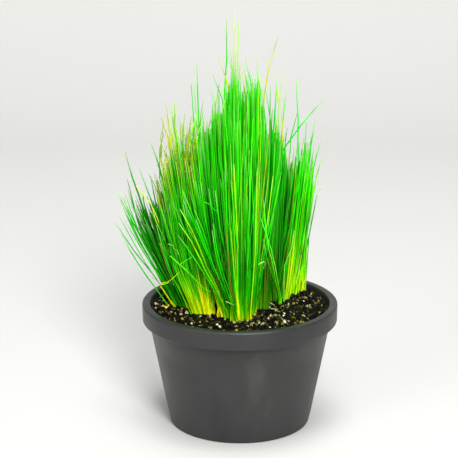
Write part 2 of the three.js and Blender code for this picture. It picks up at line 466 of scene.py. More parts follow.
shown = {  # stems, bits and threads that the front shows singly
    "footBelow": 7.3,  # lower ends under this are feet
    "footAside": 0.95,  # how far aside and in front of its tuft's middle a foot may be
    "footForward": 0.9,
    "wayAside": 0.9,  # how far aside, and from where to where in depth, others may be
    "wayBehind": (-0.2, 0.9),
    "crowding": 0.4,  # of tufts with seen stems, in millimetres for each
    "aloneThicker": 1.15,
    "aloneShade": 0.68,  # of stems that stand out of the mass, painted darker since they get the full light
    "companions": 4,  # beside each stem that is seen from its foot, right of and above these
    "companionsFrom": -25,
    "companionsAbove": 25,
    "thicketCompanions": 3,
    "alike": (0.14, 0.75),  # share with their stem's own look, in the mass and in the thicket
    "stretch": ((0.7, 1.12), (0.84, 1)),
    "apart": 1.1,
    "apartAtFoot": 0.55,  # times that
    "apartAtTip": 1.6,
    "behind": (-0.6, 1.8),
    "behindAtTip": (-1, 2.5),
    "cell": 1.5,  # of the clump's front, and the step of what lies over it
    "forward": 0.35,
    "bitRadius": 0.16,
    "bitForward": 0.3,
    "leaningRadius": 0.21,
    "spikeletRadius": 0.42,
}

lookNames = ["tone", "toneReach", "dryness", "shade", "glow", "glowReach", "bleach", "paleTip"]
looks = {  # in that order; toneReach and glowReach are shares of a stem's length
    "green": (0.04, 2, 0, 0.76, 0.35, 0.15, 0, 0.4),
    "dark": (0.02, 2, 0, 0.42, 0.15, 0.15, 0, 0.3),
    "lime": (0.9, 2, 0, 0.86, 0.85, 0.4, 0, 0.3),
    "limeFoot": (0.8, 0.35, 0, 0.62, 0.85, 0.4, 0, 0.3),
    "pale": (0.55, 2, 0.1, 0.78, 0.2, 0.15, 0.12, 0.5),
    "straw": (0.7, 2, 0.75, 0.84, 0.5, 0.2, 0, 0.25),
    "brown": (0.3, 2, 1, 0.36, 0.1, 0.1, 0, 0.3),
    "withered": (0.3, 2, 0.95, 0.7, 0, 0.1, 0.3, 0.3),
    "thread": (0.5, 2, 0.8, 1.3, 0, 0.1, 0, 0.2),
    "yellowThread": (0.5, 2, 0.8, 1.3, 0.8, 2, 0, 0.2),
    "bright": (0.3, 0.4, 0, 1.3, 0, 0.1, 0, 0.2),
    "bleached": (0.6, 2, 0.2, 1.4, 0, 0.1, 0.35, 0.4),
}
drawn = {  # what looks are drawn from
    "lime": (0.4, 1),
    "dryness": (0.5, 1),
    "shade": (0.56, 0.26),  # mean and spread
    "leastShade": 0.02,
    "paleTips": 0.3,  # share of stems that have one
    "paleTip": (0.15, 0.45),
    "dryTopFrom": (0.76, 0.9),
    "dryTopShade": 0.55,  # at least
    "namedShade": (0.85, 1.15),  # times a named look's own
    "namedTone": (0.7, 1.1),
}

# What random stems look like, by where they stand: shares of lime and of dry ones, and ranges
regions = {
    "elsewhere": {
        "lime": 0.05, "tone": (0, 0.1), "dry": 0.03, "dryShade": 1, "dryTo": (0.3, 1.2),
        "shade": 1, "glow": (0.05, 0.35), "glowReach": (0.08, 0.2),
    },
    # painted shade: stems at the left end are darker
    "leftEnd": {
        "x": (-40, -15.5), "y": (-30, 30), "dry": 0.28, "dryShade": 0.55, "dryTo": (0.2, 0.6),
        "shade": 0.64,
    },
    "leftFlank": {
        "x": (-18.8, -14.5), "y": (-30, 4), "lime": 0.12, "tone": (0.1, 0.3), "dry": 0.14,
        "shade": 0.82, "glow": (0.45, 0.75), "glowReach": (0.3, 0.6),
    },
    # painted shade: stems at the left back are darker
    "leftBack": {"x": (-15.5, -8), "y": (-4, 30), "dry": 0.12, "dryShade": 0.6, "shade": 0.56},
    "yellowFoot": {
        "x": (-14.5, -6), "y": (-30, -4), "tone": (0.02, 0.2), "dry": 0.14, "dryShade": 0.9,
        "dryTo": (0.1, 0.3), "shade": 0.82, "glow": (0.85, 1), "glowReach": (0.24, 0.44),
    },
    "brownFoot": {
        "x": (-6, -1.3), "y": (-30, -8), "dry": 0.42, "dryShade": 0.5, "dryTo": (0.15, 0.4),
        "shade": 0.76, "glow": (0.3, 0.7),
    },
    "middle": {"x": (-1.3, 6), "y": (-30, -8), "lime": 0.07, "shade": 0.92, "glow": (0.35, 0.9)},
    # painted shade: stems in the open part between the fans are darker
    "openPart": {
        "x": (6, 15), "y": (-30, 8), "dry": 0.3, "dryShade": 0.5, "dryTo": (0.08, 0.3),
        "shade": 0.68,
    },
    # painted light: stems at the right end are lighter
    "rightEnd": {
        "x": (16.5, 40), "y": (-30, 30), "lime": 0.08, "tone": (0, 0.12), "shade": 1.15,
        "glow": (0.5, 0.85), "glowReach": (0.38, 0.75),
    },
}

# What the front shows singly: to the side, and up from the middle of the gravel, stems from the
# tip down. Bits branch off a seen stem, and strewn ones lie over the front of the clump
seen = {
    "stems": [
        ("green", [(-4.9, 105.0), (-4.8, 90.6), (-5.3, 84.0), (-5.7, 76.6), (-5.5, 54.7)]),
        ("green", [(-4.7, 90.3), (-2.8, 84.3), (-1.8, 73.9)]),
        ("straw", [(-3.2, 102.1), (-2.3, 100.1), (-1.8, 97.1), (-1.8, 84.8)]),
        ("lime", [(-1.8, 108.0), (-1.8, 93.0), (-1.6, 79.3), (-2.0, 65.7)]),
        ("lime", [(-0.7, 104.0), (-0.6, 98.5), (-1.0, 90.3), (-1.1, 82.1), (-1.2, 73.9)]),
        ("pale", [(-3.5, 95.8), (-2.8, 87.6), (-2.0, 79.3)]),
        ("lime", [(-2.4, 97.1), (-2.3, 87.6), (-1.8, 76.6)]),
        ("straw", [(-7.8, 91.1), (-5.7, 84.8), (-4.7, 81.5), (-3.9, 78.0), (-3.1, 72.5)]),
        ("green", [(-9.8, 85.1), (-7.6, 79.3), (-5.2, 72.5), (-3.9, 68.4)]),
        ("pale", [(-10.1, 79.5), (-9.1, 73.9), (-8.4, 68.4), (-8.1, 64.3)]),
        ("pale", [(-7.4, 81.0), (-8.6, 74.4), (-9.0, 69.8)]),
        ("green", [(-15.4, 88.0), (-15.2, 79.3), (-14.9, 70.3), (-14.7, 62.9)]),
        ("green", [(-13.3, 75.0), (-14.1, 69.8), (-14.4, 64.3)]),
        ("pale", [(-6.6, 79.6), (-6.0, 75.2), (-5.5, 71.1)]),
        ("dark", [(-0.4, 90.7), (-0.3, 86.2), (-0.5, 80.7)]),
        ("straw", [(0.2, 88.2), (0.9, 82.6), (1.6, 77.2), (2.2, 72.5)]),
        ("green", [(2.0, 91.0), (2.4, 87.6), (3.5, 83.4), (4.8, 76.6)]),
        ("green", [(1.2, 87.7), (1.9, 82.1), (3.0, 77.2)]),
        ("green", [(2.2, 86.5), (3.2, 81.0), (4.0, 76.1)]),
        ("pale", [(3.6, 88.6), (4.0, 85.4), (4.5, 81.5)]),
        ("green", [(6.0, 90.0), (6.0, 85.9), (6.6, 82.1), (7.2, 78.8)]),
        ("green", [(9.3, 79.9), (10.1, 75.2), (11.1, 68.4), (12.2, 61.6)]),
        ("green", [(8.2, 75.0), (8.7, 68.4), (9.5, 61.6)]),
        ("straw", [
            (13.4, 99.1), (11.6, 92.5), (10.1, 87.0), (9.4, 82.1), (8.9, 78.8), (8.4, 74.4),
            (8.2, 69.8),
        ]),
        ("green", [(13.3, 85.2), (13.1, 79.3), (12.6, 71.1), (12.2, 64.3)]),
        ("lime", [(14.0, 77.4), (13.7, 72.5), (13.2, 65.7), (13.0, 58.8)]),
        ("straw", [(14.9, 75.2), (15.5, 70.6), (15.7, 62.9)]),
        ("green", [(17.6, 81.9), (16.8, 75.2), (16.1, 68.4), (15.8, 62.9)]),
        ("green", [(20.5, 84.8), (20.8, 78.8), (21.4, 69.8), (21.4, 60.2), (21.5, 53.4), (21.1, 46.5)]),
        ("dark", [(21.1, 72.0), (19.8, 67.0), (18.7, 62.4)]),
        ("green", [(31.3, 78.1), (27.7, 73.9), (23.2, 68.4), (19.5, 63.2), (17.4, 60.2), (15.5, 57.2)]),
        ("dark", [(17.8, 67.0), (17.3, 63.5), (16.9, 59.6)]),
        ("pale", [(11.2, 71.4), (11.6, 65.7), (11.9, 60.2)]),
        ("pale", [(19.9, 59.1), (19.4, 52.0), (18.9, 44.6)]),
        ("green", [(20.8, 58.3), (20.7, 52.0), (20.3, 45.1)]),
        ("straw", [(23.8, 62.8), (23.3, 59.6), (23.2, 56.9), (24.0, 53.6), (24.5, 50.3)]),
        ("green", [(23.5, 56.4), (23.1, 51.4), (22.7, 45.1)]),
        ("pale", [(24.4, 55.0), (24.5, 50.6), (24.7, 46.5)]),
        ("green", [(28.3, 70.0), (27.4, 64.3), (26.5, 58.3), (25.8, 52.0), (25.1, 43.8)]),
        ("green", [(27.4, 64.6), (26.1, 58.8), (25.2, 50.6), (24.3, 43.8)]),
        ("green", [(27.5, 60.2), (27.2, 56.1), (26.8, 51.4)]),
        ("pale", [(27.8, 54.7), (27.3, 51.4), (26.9, 47.9)]),
        ("green", [(30.2, 61.8), (28.7, 56.6), (27.4, 50.6), (26.8, 43.8), (26.4, 37.8)]),
        ("pale", [(30.2, 55.4), (29.8, 52.5), (28.7, 48.7), (27.9, 44.6), (27.4, 41.6)]),
        ("pale", [(27.5, 46.4), (27.0, 42.1)]),
        ("straw", [(18.4, 60.7), (18.1, 54.2), (18.3, 48.7), (17.9, 41.0)]),
        ("lime", [(26.9, 42.1), (26.4, 36.9), (25.9, 30.1), (25.3, 21.9), (25.1, 13.7), (24.7, 7.1)]),
        ("lime", [(26.4, 39.4), (25.7, 32.8), (25.1, 27.4)]),
        ("straw", [
            (-28.7, 70.0), (-27.5, 65.7), (-26.2, 62.4), (-25.4, 57.5), (-24.7, 53.4), (-23.3, 46.5),
        ]),
        ("brown", [(-27.8, 68.1), (-28.5, 64.8), (-28.1, 63.5), (-28.7, 60.7), (-28.9, 53.4)]),
        ("straw", [(-26.4, 74.0), (-25.7, 68.9), (-25.2, 64.3), (-24.4, 57.5)]),
        ("lime", [(-23.8, 76.0), (-23.5, 71.1), (-23.5, 64.3), (-22.8, 54.7)]),
        ("lime", [(-24.3, 72.0), (-23.6, 67.9), (-22.8, 61.6), (-21.8, 53.4)]),
        ("lime", [(-22.9, 73.6), (-23.2, 68.4), (-23.3, 61.6), (-22.3, 52.0)]),
        ("straw", [(-24.7, 70.0), (-24.1, 66.8), (-23.3, 60.2)]),
        ("lime", [(-22.2, 68.4), (-21.8, 61.6), (-21.2, 54.7)]),
        ("straw", [(-21.4, 67.9), (-21.1, 61.6), (-20.7, 53.4)]),
        ("green", [(-19.7, 64.0), (-19.9, 58.8), (-19.9, 52.0)]),
        ("straw", [(-17.3, 69.4), (-18.1, 64.3), (-18.9, 58.8), (-19.4, 53.4)]),
        ("straw", [(-16.6, 68.9), (-16.9, 64.3), (-18.1, 57.5)]),
        ("lime", [(-16.1, 68.4), (-16.5, 64.3), (-17.3, 58.8)]),
        ("lime", [(-15.1, 70.3), (-15.7, 67.0), (-16.8, 64.3), (-17.6, 60.2)]),
        ("straw", [(-14.7, 67.0), (-16.0, 62.4), (-17.0, 57.5), (-17.8, 52.0)]),
        ("straw", [(-9.9, 73.3), (-11.0, 69.2), (-11.8, 65.1)]),
        ("straw", [(-10.7, 68.7), (-9.9, 65.7)]),
        ("pale", [(-13.0, 70.6), (-13.2, 64.3), (-13.3, 58.8)]),
        ("green", [(-32.0, 59.9), (-30.2, 54.7), (-28.9, 50.6), (-27.5, 43.8)]),
        ("dark", [(-32.3, 47.6), (-31.2, 41.0), (-30.2, 35.6)]),
        ("straw", [(-31.0, 47.9), (-29.7, 42.4), (-28.6, 35.6), (-27.5, 30.1)]),
        ("brown", [(-30.0, 45.7), (-28.9, 39.7), (-28.1, 34.2)]),
        ("green", [(-30.2, 52.3), (-28.6, 47.9), (-27.3, 42.4)]),
        ("straw", [(-27.9, 59.4), (-26.8, 54.7), (-26.0, 50.6), (-25.2, 45.1)]),
        ("straw", [(-26.0, 52.5), (-25.4, 47.9), (-24.7, 41.0)]),
        ("straw", [(-23.3, 53.4), (-22.6, 49.2), (-22.0, 43.8)]),
        ("brown", [(-16.8, 53.1), (-16.9, 47.9), (-16.6, 43.0)]),
        ("limeFoot", [(-14.7, 44.0), (-12.8, 38.9), (-11.8, 34.2), (-11.2, 29.5)]),
        ("green", [
            (-41.9, 57.2), (-39.6, 47.9), (-37.3, 41.0), (-35.4, 34.2), (-33.3, 27.4), (-30.7, 19.2),
        ]),
        ("green", [
            (-41.4, 55.0), (-39.4, 47.6), (-37.0, 40.8), (-34.9, 33.9), (-32.5, 26.8), (-29.7, 18.1),
        ]),
        ("green", [(-40.4, 51.4), (-38.6, 44.9), (-36.5, 38.9), (-34.1, 31.7), (-31.5, 24.1)]),
        ("green", [(-36.4, 50.6), (-33.3, 41.6), (-30.7, 35.0), (-28.6, 27.4)]),
        ("dark", [(-35.7, 42.1), (-35.2, 37.8), (-34.1, 32.3), (-32.5, 26.8)]),
        ("dark", [(-41.0, 46.5), (-39.1, 37.8), (-37.3, 30.1), (-34.7, 21.9)]),
        ("green", [
            (-43.9, 38.7), (-40.7, 30.6), (-37.8, 24.1), (-35.4, 19.7), (-32.0, 13.7), (-28.1, 6.0),
            (-23.9, -2.2),
        ]),
        ("green", [
            (-42.7, 36.7), (-39.6, 30.1), (-36.8, 24.1), (-33.9, 18.1), (-30.2, 11.5), (-26.0, 3.8),
            (-23.3, -2.2),
        ]),
        ("green", [
            (-43.2, 26.0), (-39.9, 19.2), (-37.0, 14.2), (-33.9, 9.3), (-30.4, 4.4), (-26.2, -1.9),
        ]),
        ("dark", [
            (-38.3, 35.6), (-35.4, 27.9), (-32.3, 19.7), (-28.6, 10.9), (-25.4, 3.3), (-23.3, -2.2),
        ]),
        ("limeFoot", [
            (-29.4, 38.9), (-28.3, 31.5), (-26.8, 22.4), (-25.4, 17.0), (-23.6, 10.4), (-21.2, 3.3),
            (-19.1, -2.7),
        ]),
        ("lime", [
            (-21.1, 35.0), (-18.6, 30.4), (-17.0, 27.4), (-14.1, 20.2), (-11.8, 13.7), (-9.4, 8.8),
            (-6.5, 1.4), (-4.4, -4.1),
        ]),
        ("green", [
            (-19.7, 37.8), (-17.0, 31.7), (-13.9, 24.1), (-10.7, 15.9), (-8.1, 8.8), (-5.5, 1.4),
            (-3.6, -4.4),
        ]),
        ("dark", [
            (-19.9, 41.0), (-17.8, 31.7), (-15.5, 24.6), (-11.5, 15.0), (-8.4, 7.7), (-6.0, 1.1),
            (-4.1, -4.1),
        ]),
        ("dark", [
            (-15.5, 44.9), (-13.3, 31.7), (-11.2, 22.4), (-8.6, 13.7), (-5.7, 4.1), (-3.4, -4.9),
        ]),
        ("pale", [(-7.3, 22.4), (-6.5, 19.2), (-4.4, 8.2), (-2.8, 1.1), (-1.8, -4.7)]),
        ("dark", [(-11.0, 42.1), (-9.1, 29.0), (-7.0, 19.2), (-4.4, 9.3), (-2.6, 1.4), (-1.2, -5.5)]),
        ("lime", [
            (-2.3, 50.6), (-1.8, 37.8), (-1.2, 27.4), (-0.9, 21.1), (-1.1, 13.7), (-0.9, 2.7),
            (-0.2, -5.5),
        ]),
        ("lime", [
            (1.6, 53.4), (2.2, 37.8), (2.4, 27.4), (2.6, 20.5), (3.1, 15.9), (3.0, 10.9), (2.4, 1.4),
            (2.4, -6.0),
        ]),
        ("lime", [
            (11.4, 47.1), (10.1, 34.2), (8.7, 24.1), (7.5, 16.4), (7.3, 12.3), (6.4, 8.2), (5.3, 2.7),
            (4.7, -4.9),
        ]),
        ("lime", [(7.2, 44.9), (6.4, 27.4), (5.9, 16.4), (5.3, 8.2), (4.7, 0.0), (4.1, -4.9)]),
        ("lime", [(5.6, 47.9), (5.3, 32.3), (5.2, 19.2), (4.5, 8.2), (3.9, 0.0), (3.6, -5.2)]),
        ("green", [(1.4, 51.4), (1.1, 35.6), (1.0, 21.9), (1.1, 8.2), (1.4, -5.7)]),
        ("green", [(7.2, 44.3), (8.7, 30.1), (9.5, 21.9), (10.6, 15.0), (12.2, 9.6), (14.8, 0.8)]),
        ("green", [(6.1, 40.5), (8.5, 25.2), (9.5, 19.2), (10.8, 13.7), (13.5, 4.4), (15.3, 0.5)]),
        ("green", [(7.4, 35.6), (9.5, 22.4), (11.4, 14.8), (13.0, 9.3), (15.1, 0.8)]),
        ("straw", [(16.0, 50.9), (15.6, 46.5), (14.8, 41.0), (14.1, 36.1), (13.7, 30.1)]),
        ("straw", [(14.9, 27.4), (15.2, 20.5), (14.8, 15.0), (14.7, 7.7), (14.8, 1.1)]),
        ("brown", [
            (-28.9, 25.2), (-27.3, 17.8), (-26.0, 13.1), (-24.7, 10.4), (-23.1, 4.1), (-22.0, -2.2),
        ]),
        ("limeFoot", [
            (-27.5, 38.9), (-26.0, 27.4), (-24.7, 20.5), (-22.8, 13.1), (-19.9, 4.4), (-17.3, -3.3),
        ]),
        ("limeFoot", [
            (-24.9, 42.1), (-23.3, 24.1), (-22.3, 15.9), (-20.2, 8.2), (-17.6, 1.1), (-16.0, -3.6),
        ]),
        ("limeFoot", [(-22.3, 44.9), (-21.0, 30.1), (-18.6, 11.5), (-16.5, 3.3), (-14.7, -3.8)]),
        ("green", [(-19.1, 50.6), (-18.1, 32.8), (-17.0, 13.7), (-15.2, 4.1), (-13.6, -4.1)]),
        ("limeFoot", [(-16.0, 47.6), (-15.2, 27.4), (-14.4, 10.9), (-12.8, -4.4)]),
        ("limeFoot", [(-10.2, 43.2), (-11.2, 21.9), (-11.8, 6.8), (-11.5, -4.7)]),
        ("straw", [(-8.6, 35.6), (-9.7, 19.2), (-10.5, 4.1), (-11.0, -4.7)]),
        ("lime", [(-3.9, 33.4), (-5.5, 15.0), (-8.1, -4.4)]),
        ("lime", [(-4.1, 43.8), (-3.6, 30.1), (-2.8, 19.2), (-1.8, 8.2), (-0.5, -5.2)]),
        ("lime", [(23.5, 43.8), (22.9, 32.8), (22.2, 24.6), (21.8, 13.7), (22.2, 3.6)]),
        ("lime", [(21.4, 41.0), (20.8, 30.1), (20.4, 21.9), (20.1, 13.7), (20.1, 3.8)]),
        ("lime", [(25.1, 46.0), (24.5, 35.6), (23.8, 24.6), (23.7, 13.7), (23.7, 3.8)]),
        ("green", [(20.3, 44.3), (19.3, 32.8), (18.7, 21.9), (18.5, 12.3), (18.7, 3.8)]),
        ("lime", [(24.3, 43.2), (23.7, 35.6), (23.2, 24.6), (22.9, 13.7), (22.9, 3.3)]),
        ("lime", [(22.2, 37.8), (21.6, 27.4), (21.0, 13.7), (21.1, 3.6)]),
        ("lime", [(25.8, 37.8), (24.9, 27.4), (24.5, 15.0), (24.0, 4.4)]),
        ("lime", [(22.4, 42.1), (20.6, 27.4), (19.5, 15.0), (19.4, 3.8)]),
    ],
    "bits": [
        ("pale", [(-1.4, 85.4), (-2.6, 86.5)]),
        ("straw", [(14.1, 77.2), (15.3, 82.9), (16.6, 86.9)]),
        ("straw", [(14.1, 77.2), (14.9, 75.2)]),
        ("withered", [(4.8, 83.6), (6.4, 84.1), (8.1, 82.5), (7.7, 80.4), (7.4, 78.5)]),
        ("pale", [(27.4, 41.3), (28.9, 42.1), (30.3, 43.1)]),
        ("pale", [(27.5, 41.6), (28.2, 43.9), (29.1, 46.1)]),
        ("straw", [(-19.4, 54.2), (-17.6, 56.6), (-15.2, 59.1), (-12.6, 62.1)]),
    ],
    "strewn": [
        ("yellowThread", [
            (-23.3, -2.2), (-25.7, 1.1), (-27.5, 4.4), (-29.3, 7.1), (-27.8, 7.5), (-26.0, 7.9),
            (-24.7, 8.8), (-23.6, 9.8), (-21.9, 11.5),
        ]),
        ("yellowThread", [(-24.1, -1.9), (-26.8, 2.5), (-29.1, 6.7), (-27.3, 7.0), (-25.4, 7.7)]),
        ("withered", [(-29.4, 7.1), (-30.6, 8.2), (-32.0, 9.3)]),
        ("bright", [(-24.9, 17.8), (-23.1, 16.1), (-21.5, 14.6), (-19.1, 16.1), (-17.0, 17.5)]),
        ("bright", [(-21.5, 14.6), (-19.4, 12.6), (-16.2, 9.3), (-13.1, 6.0), (-10.7, 4.4)]),
        ("pale", [
            (-25.6, 22.2), (-24.5, 21.8), (-23.7, 21.5), (-23.2, 20.2), (-22.3, 19.6), (-21.8, 18.3),
        ]),
        ("bleached", [
            (6.4, 14.7), (7.2, 15.3), (8.2, 15.8), (8.9, 15.1), (8.6, 14.2), (8.3, 13.6), (8.5, 12.9),
        ]),
        ("green", [(-12.4, 37.3), (-10.5, 36.4), (-9.1, 34.5), (-7.6, 34.1)]),
        ("straw", [(-24.5, -0.3), (-26.0, -1.0), (-26.8, -1.6)]),
        ("withered", [(-5.2, 1.1), (-3.9, 0.5), (-2.3, -0.3)]),
        ("brown", [(-28.6, 22.4), (-27.5, 18.3), (-26.5, 14.2), (-25.2, 10.9), (-23.9, 6.6)]),
        ("thread", [
            (-37.7, 44.0), (-36.5, 42.1), (-34.7, 40.5), (-33.9, 39.1), (-32.0, 37.8), (-30.2, 34.2),
            (-28.6, 30.1),
        ]),
        ("straw", [(-35.2, 41.6), (-33.4, 38.9), (-31.6, 36.4), (-30.4, 33.2), (-29.0, 28.6)]),
    ],
    "leaning": [  # stems over the front, from the foot up
        ("bright", [(14.8, 0.4), (12.6, 8.9), (11.4, 15.2), (9.8, 20.7), (8.6, 29.0), (7.9, 38.0)]),
        ("bright", [(15.2, 0.7), (13.9, 6.5), (12.5, 13.6), (10.9, 19.9), (9.4, 24.5), (7.0, 31.5)]),
        ("green", [(14.4, 0.4), (12.2, 8.6), (10.2, 14.1), (8.9, 18.5), (8.0, 24.0)]),
        ("pale", [(16.3, 2.6), (16.2, 8.0), (16.4, 13.6), (17.5, 16.8), (18.9, 20.0), (19.9, 27.0)]),
    ],
    "spikelets": [
        ("brown", [(4.5, 79.3), (4.6, 83.3)]),
        ("straw", [(14.1, 75.8), (13.7, 81.3)]),
        ("lime", [(-4.5, 80.2), (-5.2, 83.7)]),
        ("straw", [(-0.7, 20.2), (-0.7, 22.4)]),
    ],
}

# The top of the mass that stems stand out of singly, in the same way
massTop = [
    (-48, 8), (-42, 22), (-38, 33), (-35, 31), (-33, 32), (-30.5, 37), (-29, 41), (-27.3, 46),
    (-25.7, 52), (-24, 55), (-22.5, 53), (-21, 48), (-19.4, 49), (-17.8, 51), (-16, 53),
    (-14.7, 57), (-13, 58), (-11.5, 58), (-10, 63), (-8.4, 64), (-6.8, 66), (-5.2, 73),
    (-3.6, 80), (-2, 87), (-0.5, 77), (1.1, 74), (2.7, 76), (4.3, 80), (6, 80), (7.4, 74),
    (9, 62), (10.6, 59), (12.2, 60), (13.7, 61), (15.3, 58), (17, 54), (18.5, 49), (20, 49),
    (21.6, 48), (23.2, 54), (24.8, 53), (26.4, 57), (28, 45), (30, 20),
]


def seenUp(point):  # how far up the front shows a point
    return point.z - soil + clump["viewRise"] * point.y


def fromSeen(x, up, y):  # the point at depth y that the front shows there
    return Vector((x, y, soil + up - clump["viewRise"] * y))


def soilSeenAt(x, up):  # the place on the gravel that the front shows there
    y = 0
    for _ in range(8):
        y = (up + soil - gravelTop(x, y)) / clump["viewRise"]
    return Vector((x, y, gravelTop(x, y)))


def massTopAt(x):
    for (x0, up0), (x1, up1) in zip(massTop, massTop[1:]):
        if x0 <= x <= x1:
            return mix(up0, up1, (x - x0) / (x1 - x0))
    return massTop[0][1]


def lookNamed(name, rng):
    look = dict(zip(lookNames, looks[name]))
    look["shade"] *= rng.uniform(*drawn["namedShade"])
    look["tone"] *= rng.uniform(*drawn["namedTone"])
    look["dryPart"] = (-1, 2)  # all of it
    return look


def isIn(value, span):
    return span[0] < value < span[1]


def rulesAt(at):
    rules = dict(regions["elsewhere"])
    for region in regions.values():
        if "x" in region and isIn(at.x, region["x"]) and isIn(at.y, region["y"]):
            rules.update(region)
    return rules


def randomLook(at, rng):
    rules = rulesAt(at)
    tone = rng.uniform(*(drawn["lime"] if rng.random() < rules["lime"] else rules["tone"]))
    dryness = rng.uniform(*drawn["dryness"]) if rng.random() < rules["dry"] else 0
    # a region's shade makes stems darker at the left and in the open part, painted shade, and lighter
    # at the right end, painted light
    shade = min(max(rng.gauss(*drawn["shade"]) * rules["shade"], drawn["leastShade"]), 1)
    if dryness:
        shade *= rules["dryShade"]
    glow, glowReach = rng.uniform(*rules["glow"]), rng.uniform(*rules["glowReach"])
    paleTip = rng.uniform(*drawn["paleTip"]) if rng.random() < drawn["paleTips"] else 0
    look = dict(zip(lookNames, (tone, 2, dryness, shade, glow, glowReach, 0, paleTip)))
    look["dryPart"] = (-1, rng.uniform(*rules["dryTo"]))
    return look


def dryTop(look, rng):
    look["dryness"] = rng.uniform(*drawn["dryness"])
    look["dryPart"] = (rng.uniform(*drawn["dryTopFrom"]), 2)
    look["shade"] = max(look["shade"], drawn["dryTopShade"])


def taper(radius):  # a sheath at the foot, and a fine tip
    tipFrom, tipThin = stems["tipFrom"], stems["tipThin"]

    def radiusOf(share):
        sheath = 1 + stems["sheathThicker"] * (1 - smooth(share / stems["sheathLength"]))
        return radius * sheath * mix(1, tipThin, smooth((share - tipFrom) / (1 - tipFrom)))

    return radiusOf


def toneAt(share, look):
    lost = litBy["limeLost"] * smooth((share - look["toneReach"]) / litBy["limeFade"])
    return look["tone"] * (1 - lost)


def drynessAt(share, look):
    begun, over = (smooth((share - edge) / litBy["dryFade"]) for edge in look["dryPart"])
    return look["dryness"] * begun * (1 - over)


def sheathAt(share, look):
    past = share / look["glowReach"] - litBy["glowFull"]
    return look["glow"] * (1 - smooth(past / (1 - litBy["glowFull"])))


def paleTipAt(share, look):
    return look["paleTip"] * smooth((share - litBy["paleFrom"]) / (1 - litBy["paleFrom"]))


class Guides:  # polylines with attributes, which the stem tree sweeps

    def __init__(self):
        self.points = []
        self.edges = []
        names = ("thickness", "tone", "dryness", "shade", "sheath", "bleach")
        self.values = {name: [] for name in names}

    def add(self, path, look, radiusOf, hidden=0):  # a hidden lower part is plain green, darkened as painted shade inside the mass
        first = len(self.points)
        self.points += [point * mm for point in path]
        self.edges += [(k, k + 1) for k in range(first, first + len(path) - 1)]
        run = [0]
        for before, point in zip(path, path[1:]):
            run.append(run[-1] + (point - before).length)
        # Painted shade: the upper parts of living stems are darker to the left
        alive = 1 - max(look["tone"], look["dryness"])
        left = smooth((litBy["leftFrom"] - path[0].x) / litBy["leftFade"]) * alive
        highShade = litBy["highShade"] * mix(1, litBy["leftDarker"], left)
        for k, gone in enumerate(run):
            share = gone / run[-1]
            tone, dry = toneAt(share, look), drynessAt(share, look)
            # Painted light and shade: darker towards the gravel, lighter towards the top
            up = smooth((path[k].z - soil) / litBy["fullLightAt"])
            shade = mix(look["shade"], litBy["evenShade"], litBy["evenness"] * up)
            # painted shade: a hidden lower part is dark, inside the mass
            if k < hidden:
                tone, dry, shade = 0, 0, litBy["hiddenShade"]
            self.values["thickness"].append(radiusOf(share) * mm)
            self.values["tone"].append(tone)
            self.values["dryness"].append(dry)
            self.values["shade"].append(min(shade * mix(litBy["lowShade"], highShade, up), 1))
            self.values["sheath"].append(sheathAt(share, look))
            self.values["bleach"].append(max(look["bleach"], paleTipAt(share, look)))

    def mesh(self, name):
        mesh = bpy.data.meshes.new(name)
        mesh.from_pydata(self.points, self.edges, [])
        for key, values in self.values.items():
            mesh.attributes.new(key, "FLOAT", "POINT").data.foreach_set("value", values)
        return mesh


class Tuft:

    def __init__(self, number):
        self.number = number
        self.at = places[number]
        self.crown = crowns[number]
        self.foot = footOf(number)
        self.height = heightOf(self.at) * between(clump["heightSpread"], scatter(number, 2))
        self.waist = min(stems["waist"], roomAt(number, 0) + clump["tuftGap"])
        self.roomStep = self.height / 12  # up to a little above the top
        self.rooms = [roomAt(number, self.roomStep * k) for k in range(16)]
        self.seenStems = 0
        self.guides = Guides()

    def roomOf(self, level):
        place = min(max(level / self.roomStep, 0), len(self.rooms) - 1.001)
        k = int(place)
        return mix(self.rooms[k], self.rooms[k + 1], place - k)

    def wayAt(self, place, level):  # place is in a disc of radius 1
        width = mix(self.waist, self.roomOf(level), smooth(level / stems["spreadBy"]))
        return axisAt(self.at, level) + place * width

    def levelSeen(self, place, up):  # the level at which the front shows a way that far up
        level = soil + up - self.foot
        for _ in range(6):
            level = soil + up - self.foot - clump["viewRise"] * self.wayAt(place, level).y
        return level

    def bundleLengthAt(self, way):  # as a share of the tuft's height, of the bundle on that side
        turned = (math.atan2(way.y, way.x) / (2 * math.pi) - scatter(self.number, 1)) % 1
        bundle = int(turned * clump["bundles"])
        return between(clump["bundleLength"], scatter(self.number, bundle + 40))


def randomWay(rng):
    return towards(rng.uniform(0, 2 * math.pi))


def strayOf(tuft, rng):  # how far a stem strays sideways for each millimetre of height
    spread = stems["wildStray"] if rng.random() < stems["wildShare"] else stems["stray"]
    stray = randomWay(rng) * abs(rng.gauss(0, spread))
    if tuft.crown.x < stems["leftEnd"]:
        stray.x -= min(abs(rng.gauss(0, stems["leftSpread"])), stems["leftMost"])
    elif tuft.crown.x > stems["rightEnd"]:
        stray.x += abs(rng.gauss(0, stems["rightSpread"]))
    return stray


def cutToMass(pointAt, length, rng):  # to stand out of the mass by a random little
    allowed = stems["overTop"] * (stems["tallOver"] if rng.random() < stems["tallShare"] else 1)
    for _ in range(2):  # twice, as the mass's top isn't level
        tip = pointAt(length)
        if isIn(tip.x, stems["thicket"]):
            allowed = stems["thicketOver"]
        over = seenUp(tip) - massTopAt(tip.x)
        length -= max(over - rng.expovariate(1 / allowed), 0)
    return length


